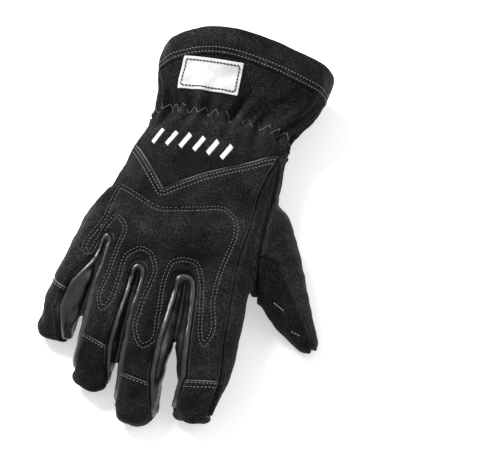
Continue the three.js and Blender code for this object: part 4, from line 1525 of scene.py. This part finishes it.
def thumb_relief(name):
    def relief(sheet):
        return turned_seam(np.maximum(least(sheet[name], sheet["hand"]), 0))

    return relief


def patch_relief(sheet):
    return palm_relief(sheet) + channels(sheet["palm_patch"], PATCH_ROWS)


def edge_wear_and_highlight(name, reach=1.0, sign=1):
    """Raw edges and seams show lighter: partly the leather's wear, partly a painted highlight."""
    return lambda sheet: bell(np.maximum(sign * sheet[name], 0), reach)


def wear_and_highlight_share(sheet, strength, seed):
    """Wear and painted highlight that come and go along an edge."""
    return strength * np.clip(0.6 + 0.5 * waves(sheet.points(), 22, seed), 0, 1)


# Seams show lighter beside them: partly wear, partly a painted highlight.
def seam_wear_and_highlight(sheet):
    return wear_and_highlight_share(sheet, 0.35, 51) * bell(np.maximum(sewn_sides(sheet) - 0.5, 0), 0.7)


# The lighter edges given below are partly wear, partly a painted highlight along raw edges and seams.
make_panel("cuff_band", lambda s: least(s["band"], s["rim"]), band_relief, BAND_WALL)
make_panel(
    "wrist_back",
    lambda s: least(TUCKED - s["band"], s["yoke"] + TUCKED, s["side"]),
    wrist_relief,
    material=PAINTED_SHADE_WRIST_SUEDE,
)
make_panel(
    "wrist_palm",
    lambda s: least(TUCKED - s["band"], s["heel"], -s["side"]),
    wrist_palm_relief,
)
make_panel(
    "hand_back",
    lambda s: least(s["panels"], s["side"], -s["caps"]),
    back_relief,
    wear_and_highlight=lambda s: np.maximum(wear_and_highlight_share(s, 1.0, 52) * bell(-s["yoke"], 0.7), seam_wear_and_highlight(s)),
)
make_panel(
    "hand_palm",
    lambda s: least(s["panels"], -s["side"], -s["pads"]),
    palm_relief,
    wear_and_highlight=seam_wear_and_highlight,
)
make_panel(
    "palm_patch",
    lambda s: least(s["palm_patch"], -s["side"], sewn_sides(s) - PATCH_INSET, -s["pads"]),
    patch_relief,
    OVERLAY,
    OVERLAY_CLEAR + OVERLAY,
    edge=0.5,
    wear_and_highlight=edge_wear_and_highlight("palm_patch"),
)
make_panel(
    "heel_patch",
    lambda s: s["heel_patch"],
    lambda s: channels(s["heel_patch"], HEEL_ROWS),
    OVERLAY,
    OVERLAY_CLEAR + OVERLAY,
    edge=0.5,
    wear_and_highlight=edge_wear_and_highlight("heel_patch"),
)
make_panel(
    "label",
    lambda s: least(s["label"], s["side"]),
    lambda s: wrist_relief(s) * 0.5,
    LABEL_THICKNESS,
    OVERLAY_CLEAR + LABEL_THICKNESS,
    edge=0.3,
    material=WOVEN,
)
for finger_name in FINGER_NAMES:
    cap, pad = f"cap_{finger_name}", f"pad_{finger_name}"
    cap_rows = INDEX_CAP_ROWS if finger_name == "index" else CAP_ROWS
    make_panel(
        f"fingertip_cap_{finger_name}",
        lambda s, cap=cap: least(s["panels"], s["side"], s[cap]),
        tip_relief(cap, cap_rows),
        wear_and_highlight=lambda s, cap=cap: np.maximum(wear_and_highlight_share(s, 0.75, 53) * bell(s[cap], 0.42), seam_wear_and_highlight(s)),
    )
    make_panel(
        f"finger_pad_{finger_name}",
        lambda s, pad=pad: least(s["panels"], -s["side"], s[pad]),
        tip_relief(pad, CAP_ROWS),
        wear_and_highlight=lambda s, pad=pad: np.maximum(wear_and_highlight_share(s, 0.75, 54) * bell(s[pad], 0.42), seam_wear_and_highlight(s)),
    )
for i in range(len(FORKS)):
    fork = f"fork{i}"
    make_panel(
        f"fourchette_{FINGER_NAMES[i]}_{FINGER_NAMES[i + 1]}",
        lambda s, fork=fork: s[fork],
        gusset_relief(i),
        material=GRAIN,
    )
make_panel("index_side_strip", lambda s: least(s["strip"], s["hand"]), strip_relief)
make_panel(
    "thumb_outer",
    lambda s: least(s["thumb_outer"], s["hand"], -s["strip"]),
    thumb_relief("thumb_outer"),
    material=PAINTED_LIGHT_THUMB_SUEDE,
)
make_panel(
    "thumb_inner",
    lambda s: least(s["thumb_inner"], s["hand"], -s["thumb_outer"], -s["strip"]),
    thumb_relief("thumb_inner"),
    material=PAINTED_SHADE_THUMB_SUEDE,
)

# Stitches


def sewing_tree():
    """Geometry Nodes: one short thread after another along each row, lying on the leather."""
    tree = bpy.data.node_groups.new("sewn_rows", "GeometryNodeTree")
    sockets = tree.interface
    sockets.new_socket("Rows", in_out="INPUT", socket_type="NodeSocketGeometry")
    sizes = {"Pitch": 0.0024, "Length": 0.00175, "Thickness": 0.0005, "Turn": 0.0, "Sway": 0.16}
    for name, value in sizes.items():
        sockets.new_socket(name, in_out="INPUT", socket_type="NodeSocketFloat").default_value = value
    sockets.new_socket("Seed", in_out="INPUT", socket_type="NodeSocketInt").default_value = 1
    sockets.new_socket("Thread", in_out="INPUT", socket_type="NodeSocketMaterial")
    sockets.new_socket("Stitches", in_out="OUTPUT", socket_type="NodeSocketGeometry")
    nodes, links = tree.nodes, tree.links

    def node(kind, inputs=(), **settings):
        made = nodes.new(kind)
        for key, value in settings.items():
            setattr(made, key, value)
        for name, value in dict(inputs).items():
            socket = made.inputs[name] if isinstance(name, int) else next(
                s for s in made.inputs if s.name == name and s.enabled
            )
            if isinstance(value, bpy.types.NodeSocket):
                links.new(value, socket)
            else:
                socket.default_value = value
        return made

    given = node("NodeGroupInput").outputs
    curve = node("GeometryNodeMeshToCurve", {"Mesh": given["Rows"]})
    spaced = node(
        "GeometryNodeResampleCurve", {"Curve": curve.outputs[0], "Length": given["Pitch"]}, mode="LENGTH"
    )
    up = node("GeometryNodeInputNamedAttribute", {"Name": "up"}, data_type="FLOAT_VECTOR")
    tangent = node("GeometryNodeInputTangent")
    facing = node(
        "FunctionNodeAxesToRotation",
        {"Primary Axis": up.outputs[0], "Secondary Axis": tangent.outputs[0]},
        primary_axis="Z",
        secondary_axis="X",
    )
    chance = node("FunctionNodeRandomValue", {"Seed": given["Seed"]}, data_type="FLOAT")
    centred = node("ShaderNodeMath", {0: chance.outputs[1], 1: 0.5}, operation="SUBTRACT")
    swayed = node("ShaderNodeMath", {0: centred.outputs[0], 1: given["Sway"]}, operation="MULTIPLY")
    angle = node("ShaderNodeMath", {0: swayed.outputs[0], 1: given["Turn"]}, operation="ADD")
    spin = node("ShaderNodeCombineXYZ", {"Z": angle.outputs[0]})
    turn = node("FunctionNodeEulerToRotation", {0: spin.outputs[0]})
    rotation = node(
        "FunctionNodeRotateRotation", {0: facing.outputs[0], 1: turn.outputs[0]}, rotation_space="LOCAL"
    )
    thickness = given["Thickness"]
    size = node("ShaderNodeCombineXYZ", {"X": given["Length"], "Y": thickness, "Z": thickness})
    bead = node("GeometryNodeMeshUVSphere", {"Segments": 6, "Rings": 5, "Radius": 0.5})
    thread = node("GeometryNodeTransform", {"Geometry": bead.outputs[0], "Scale": size.outputs[0]})
    placed = node(
        "GeometryNodeInstanceOnPoints",
        {"Points": spaced.outputs[0], "Instance": thread.outputs[0], "Rotation": rotation.outputs[0]},
    )
    real = node("GeometryNodeRealizeInstances", {0: placed.outputs[0]})
    even = node("GeometryNodeSetShadeSmooth", {0: real.outputs[0]})
    dressed = node("GeometryNodeSetMaterial", {"Geometry": even.outputs[0], "Material": given["Thread"]})
    node("NodeGroupOutput", {0: dressed.outputs[0]})
    return tree


SEWING = sewing_tree()


def row_points(panel, value, keep=None):
    """Where value is 0 on a panel's lying surface: points, their up directions and their links."""
    sheet, _, lying = PANELS[panel]
    level = value(sheet)
    level = np.where(np.abs(level) < LEAST_LEVEL, LEAST_LEVEL, level)
    up = normals_of(lying, sheet.tris)
    kept = keep(sheet) if keep else np.ones(len(lying))
    _, _, (a, b, share), first, second = cut_edges(sheet.tris, level, len(lying))
    ok = mix(kept[a], kept[b], share[:, 0]) > 0
    points = mix(lying[a], lying[b], share)
    ups = mix(up[a], up[b], share)
    steps = np.stack([first, second], 1)
    steps = steps[ok[steps].all(1)]
    return points, ups, steps


def sew(name, rows, thread, pitch=2.4, length=1.75, thickness=0.5, turn=0.0, sway=0.16, lift=0.12, seed=1):
    """Sews rows of stitches as one piece. Each row is points, up directions and links."""
    starts = np.cumsum([0] + [len(row[0]) for row in rows])
    points = np.concatenate([row[0] for row in rows])
    ups = np.concatenate([row[1] for row in rows])
    steps = np.concatenate([row[2] + start for row, start in zip(rows, starts)])
    mesh = bpy.data.meshes.new(name + "_rows")
    placed = points + ups * lift
    placed[:, 2] = np.maximum(placed[:, 2], thickness / 2)
    placed = (placed + ORIGIN) * MM
    mesh.from_pydata(placed.tolist(), steps.tolist(), [])
    up = mesh.attributes.new("up", "FLOAT_VECTOR", "POINT")
    up.data.foreach_set("vector", ups.astype(np.float32).ravel())
    rows_object = new_object(name + "_rows", mesh)
    modifier = rows_object.modifiers.new("sewing", "NODES")
    modifier.node_group = SEWING
    values = {
        "Pitch": pitch * MM, "Length": length * MM, "Thickness": thickness * MM,
        "Turn": turn, "Sway": sway, "Seed": seed, "Thread": thread,
    }
    for item in SEWING.interface.items_tree:
        if item.in_out == "INPUT" and item.name in values:
            modifier[item.identifier] = values[item.name]
    rows_object.update_tag()
    graph = bpy.context.evaluated_depsgraph_get()
    made = bpy.data.meshes.new_from_object(rows_object.evaluated_get(graph))
    bpy.data.objects.remove(rows_object)
    piece = new_object(name, made)
    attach(piece, "root")
    return piece


def rows_beside(panel, name, rows, sign=1, keep=None):
    """Rows of stitches at distances from a named seam."""
    return [row_points(panel, lambda s, at=at: sign * s[name] - at, keep) for at in rows]


ROW_CLEARANCE = 1.2  # between the ends of a row and the seams


def clear_of_sides(sheet):
    return least(sewn_sides(sheet), np.abs(sheet["side"])) - ROW_CLEARANCE


def showing(sheet, share=0.9):
    """Where the nap doesn't hide the thread."""
    return share + waves(sheet.points(), 7, 61)


def clear_and_showing(sheet):
    return least(clear_of_sides(sheet), showing(sheet, 1.2))


hem_rows = rows_beside("cuff_band", "band", HEM_ROWS, 1, lambda s: showing(s, 1.3))
sew("hem_stitches", hem_rows, GREY_THREAD, seed=2)
sew(
    "yoke_stitches",
    rows_beside("hand_back", "yoke", YOKE_ROWS, -1, clear_and_showing),
    GREY_THREAD,
    seed=3,
)
cap_rows = []
for finger_name in FINGER_NAMES:
    rows = INDEX_CAP_ROWS if finger_name == "index" else CAP_ROWS
    cap_rows += rows_beside(f"fingertip_cap_{finger_name}", f"cap_{finger_name}", rows, 1, clear_of_sides)
    cap_rows += rows_beside(f"finger_pad_{finger_name}", f"pad_{finger_name}", CAP_ROWS, 1, clear_of_sides)
sew("fingertip_stitches", cap_rows, GREY_THREAD, seed=4)
PATCH_SIDE_ROW = 2.2


def patch_sides(at):
    """The distance from a line inside the palm patch's sides."""
    return lambda sheet: sewn_sides(sheet) - PATCH_INSET - at


palm_rows = rows_beside("palm_patch", "palm_patch", PATCH_ROWS, 1, patch_sides(1))
palm_rows += [row_points("palm_patch", patch_sides(PATCH_SIDE_ROW), lambda s: s["palm_patch"] - 5)]
palm_rows += rows_beside("heel_patch", "heel_patch", HEEL_ROWS)
sew("palm_stitches", palm_rows, GREY_THREAD, seed=5)
label_rows = rows_beside("label", "label", LABEL_ROWS)
sew("label_border", label_rows, BLACK_THREAD, 2.5, 2.6, 1.15, seed=6)
quilt_rows = [
    row_points("hand_back", lambda s, at=at: s["quilt"] - at, clear_and_showing)
    for at in (-QUILT_ROWS, QUILT_ROWS)
]
sew("quilt_stitches", quilt_rows, DIM_THREAD, seed=7)


def on_zigzag(sheet):
    return sheet["zigzag"]


def zigzag_shows(sheet):
    return showing(sheet, 0.5)


def zigzag_shows_on_back(sheet):
    return least(sheet.points()[:, 0] - ZIGZAG_FROM, zigzag_shows(sheet))


zigzag_rows = [
    row_points("wrist_back", on_zigzag, zigzag_shows_on_back),
    row_points("wrist_palm", on_zigzag, zigzag_shows),
]
sew("wrist_zigzag", zigzag_rows, DIM_THREAD, 1.5, 1.6, 0.55, sway=0.2, seed=8)


def over_panel(panel, starts, ends, step=0.45):
    """Straight rows in plan, laid over a panel: points, up directions and links for each."""
    sheet, _, lying = PANELS[panel]
    carrier = BVHTree.FromPolygons(lying.tolist(), sheet.tris.tolist())
    rows = []
    for start, end in zip(starts, ends):
        count = max(2, round(math.dist(start, end) / step))
        points, ups = [], []
        for share in np.linspace(0, 1, count):
            x, y = mix(np.array(start), np.array(end), share)
            hit, up, _, _ = carrier.ray_cast(Vector((x, y, FAR)), Vector((0, 0, -1)))
            points.append(tuple(hit))
            ups.append(tuple(up))
        steps = [(k, k + 1) for k in range(count - 1)]
        rows.append((np.array(points), np.array(ups), np.array(steps)))
    return rows


bar_across = np.array([math.sin(BAR_SLANT), math.cos(BAR_SLANT)]) * BAR_HEIGHT / 2
bar_middles = np.array(BARS_FROM) + np.outer(range(BARS), (BAR_PITCH, BARS_RISE))
bar_rows = over_panel("wrist_back", bar_middles - bar_across, bar_middles + bar_across)
bar_turn = math.pi / 2 - BAR_SLANT
sew("embroidered_bars", bar_rows, WHITE_THREAD, 0.45, BAR_WIDTH, 0.55, bar_turn, 0.05, 0.15, 9)
thumb_marks = over_panel("thumb_inner", THUMB_MARKS["start"], THUMB_MARKS["end"])
sew("thumb_marks", thumb_marks, GREY_THREAD, 1.6, 2.0, 0.7, seed=10)

# The floor, the light and the camera

FLOOR_SIZE = 8.0
FLOOR_GREY = 0.93
FLOOR_GLOW = 0.45
SURROUNDING_LIGHT = 0.55
LIGHTS = [
    ("key", (-0.8, 0.6, 1.0), 0.55, 27),
    ("fill", (0.9, 0.1, 0.9), 0.8, 3),
]


def make_floor():
    mesh = bpy.data.meshes.new("floor")
    half = FLOOR_SIZE / 2
    corners = [(-half, -half, 0), (half, -half, 0), (half, half, 0), (-half, half, 0)]
    mesh.from_pydata(corners, [], [(0, 1, 2, 3)])
    floor = new_object("floor", mesh)
    finish = Finish("pale_floor")
    set_inputs(finish.shader, {"Base Color": (FLOOR_GREY, FLOOR_GREY, FLOOR_GREY, 1), "Roughness": 0.9})
    set_inputs(finish.shader, {"Emission Color": (1, 1, 1, 1), "Emission Strength": FLOOR_GLOW})
    mesh.materials.append(finish.material)


def make_light(name, place, size, power):
    """A soft square light that looks at the glove."""
    data = bpy.data.lights.new(name, "AREA")
    data.shape = "SQUARE"
    data.size = size
    data.energy = power
    light = new_object(name, data)
    light.location = place
    light.rotation_mode = "QUATERNION"
    light.rotation_quaternion = (-Vector(place)).to_track_quat("-Z", "Y")


def make_world():
    world = bpy.data.worlds.new("studio")
    world.use_nodes = True
    background = world.node_tree.nodes["Background"]
    set_inputs(background, {"Color": (1, 1, 1, 1), "Strength": SURROUNDING_LIGHT})
    bpy.context.scene.world = world


PHOTO_WIDTH = 500
PHOTO_HEIGHT = 463
MM_TO_A_PIXEL = 0.69
ORIGIN_PIXEL = (200, 200)  # where the drawing's origin shows
CAMERA_TURN = math.radians(15)
CAMERA_HEIGHT = math.radians(68)
CAMERA_AWAY = 3.0


def make_camera():
    """A long lens, so that the glove shows as it does from far away."""
    turn, height = CAMERA_TURN, CAMERA_HEIGHT
    right = Vector((math.cos(turn), math.sin(turn), 0))
    back = Vector((math.sin(turn) * math.cos(height), -math.cos(turn) * math.cos(height), math.sin(height)))
    up = back.cross(right)
    across = (PHOTO_WIDTH / 2 - ORIGIN_PIXEL[0]) * MM_TO_A_PIXEL
    upward = (ORIGIN_PIXEL[1] - PHOTO_HEIGHT / 2) * MM_TO_A_PIXEL
    target = (Vector(ORIGIN) + across * right + upward * up) * MM
    data = bpy.data.cameras.new("camera")
    data.sensor_width = 36
    data.lens = data.sensor_width * CAMERA_AWAY / (PHOTO_WIDTH * MM_TO_A_PIXEL * MM)
    data.clip_end = 50
    camera = new_object("camera", data)
    camera.location = target + back * CAMERA_AWAY
    camera.rotation_mode = "QUATERNION"
    camera.rotation_quaternion = (-back).to_track_quat("-Z", "Y")
    bpy.context.scene.camera = camera


make_floor()
make_world()
for name, place, size, power in LIGHTS:
    make_light(name, place, size, power)
make_camera()
bpy.context.scene.view_settings.view_transform = "Standard"
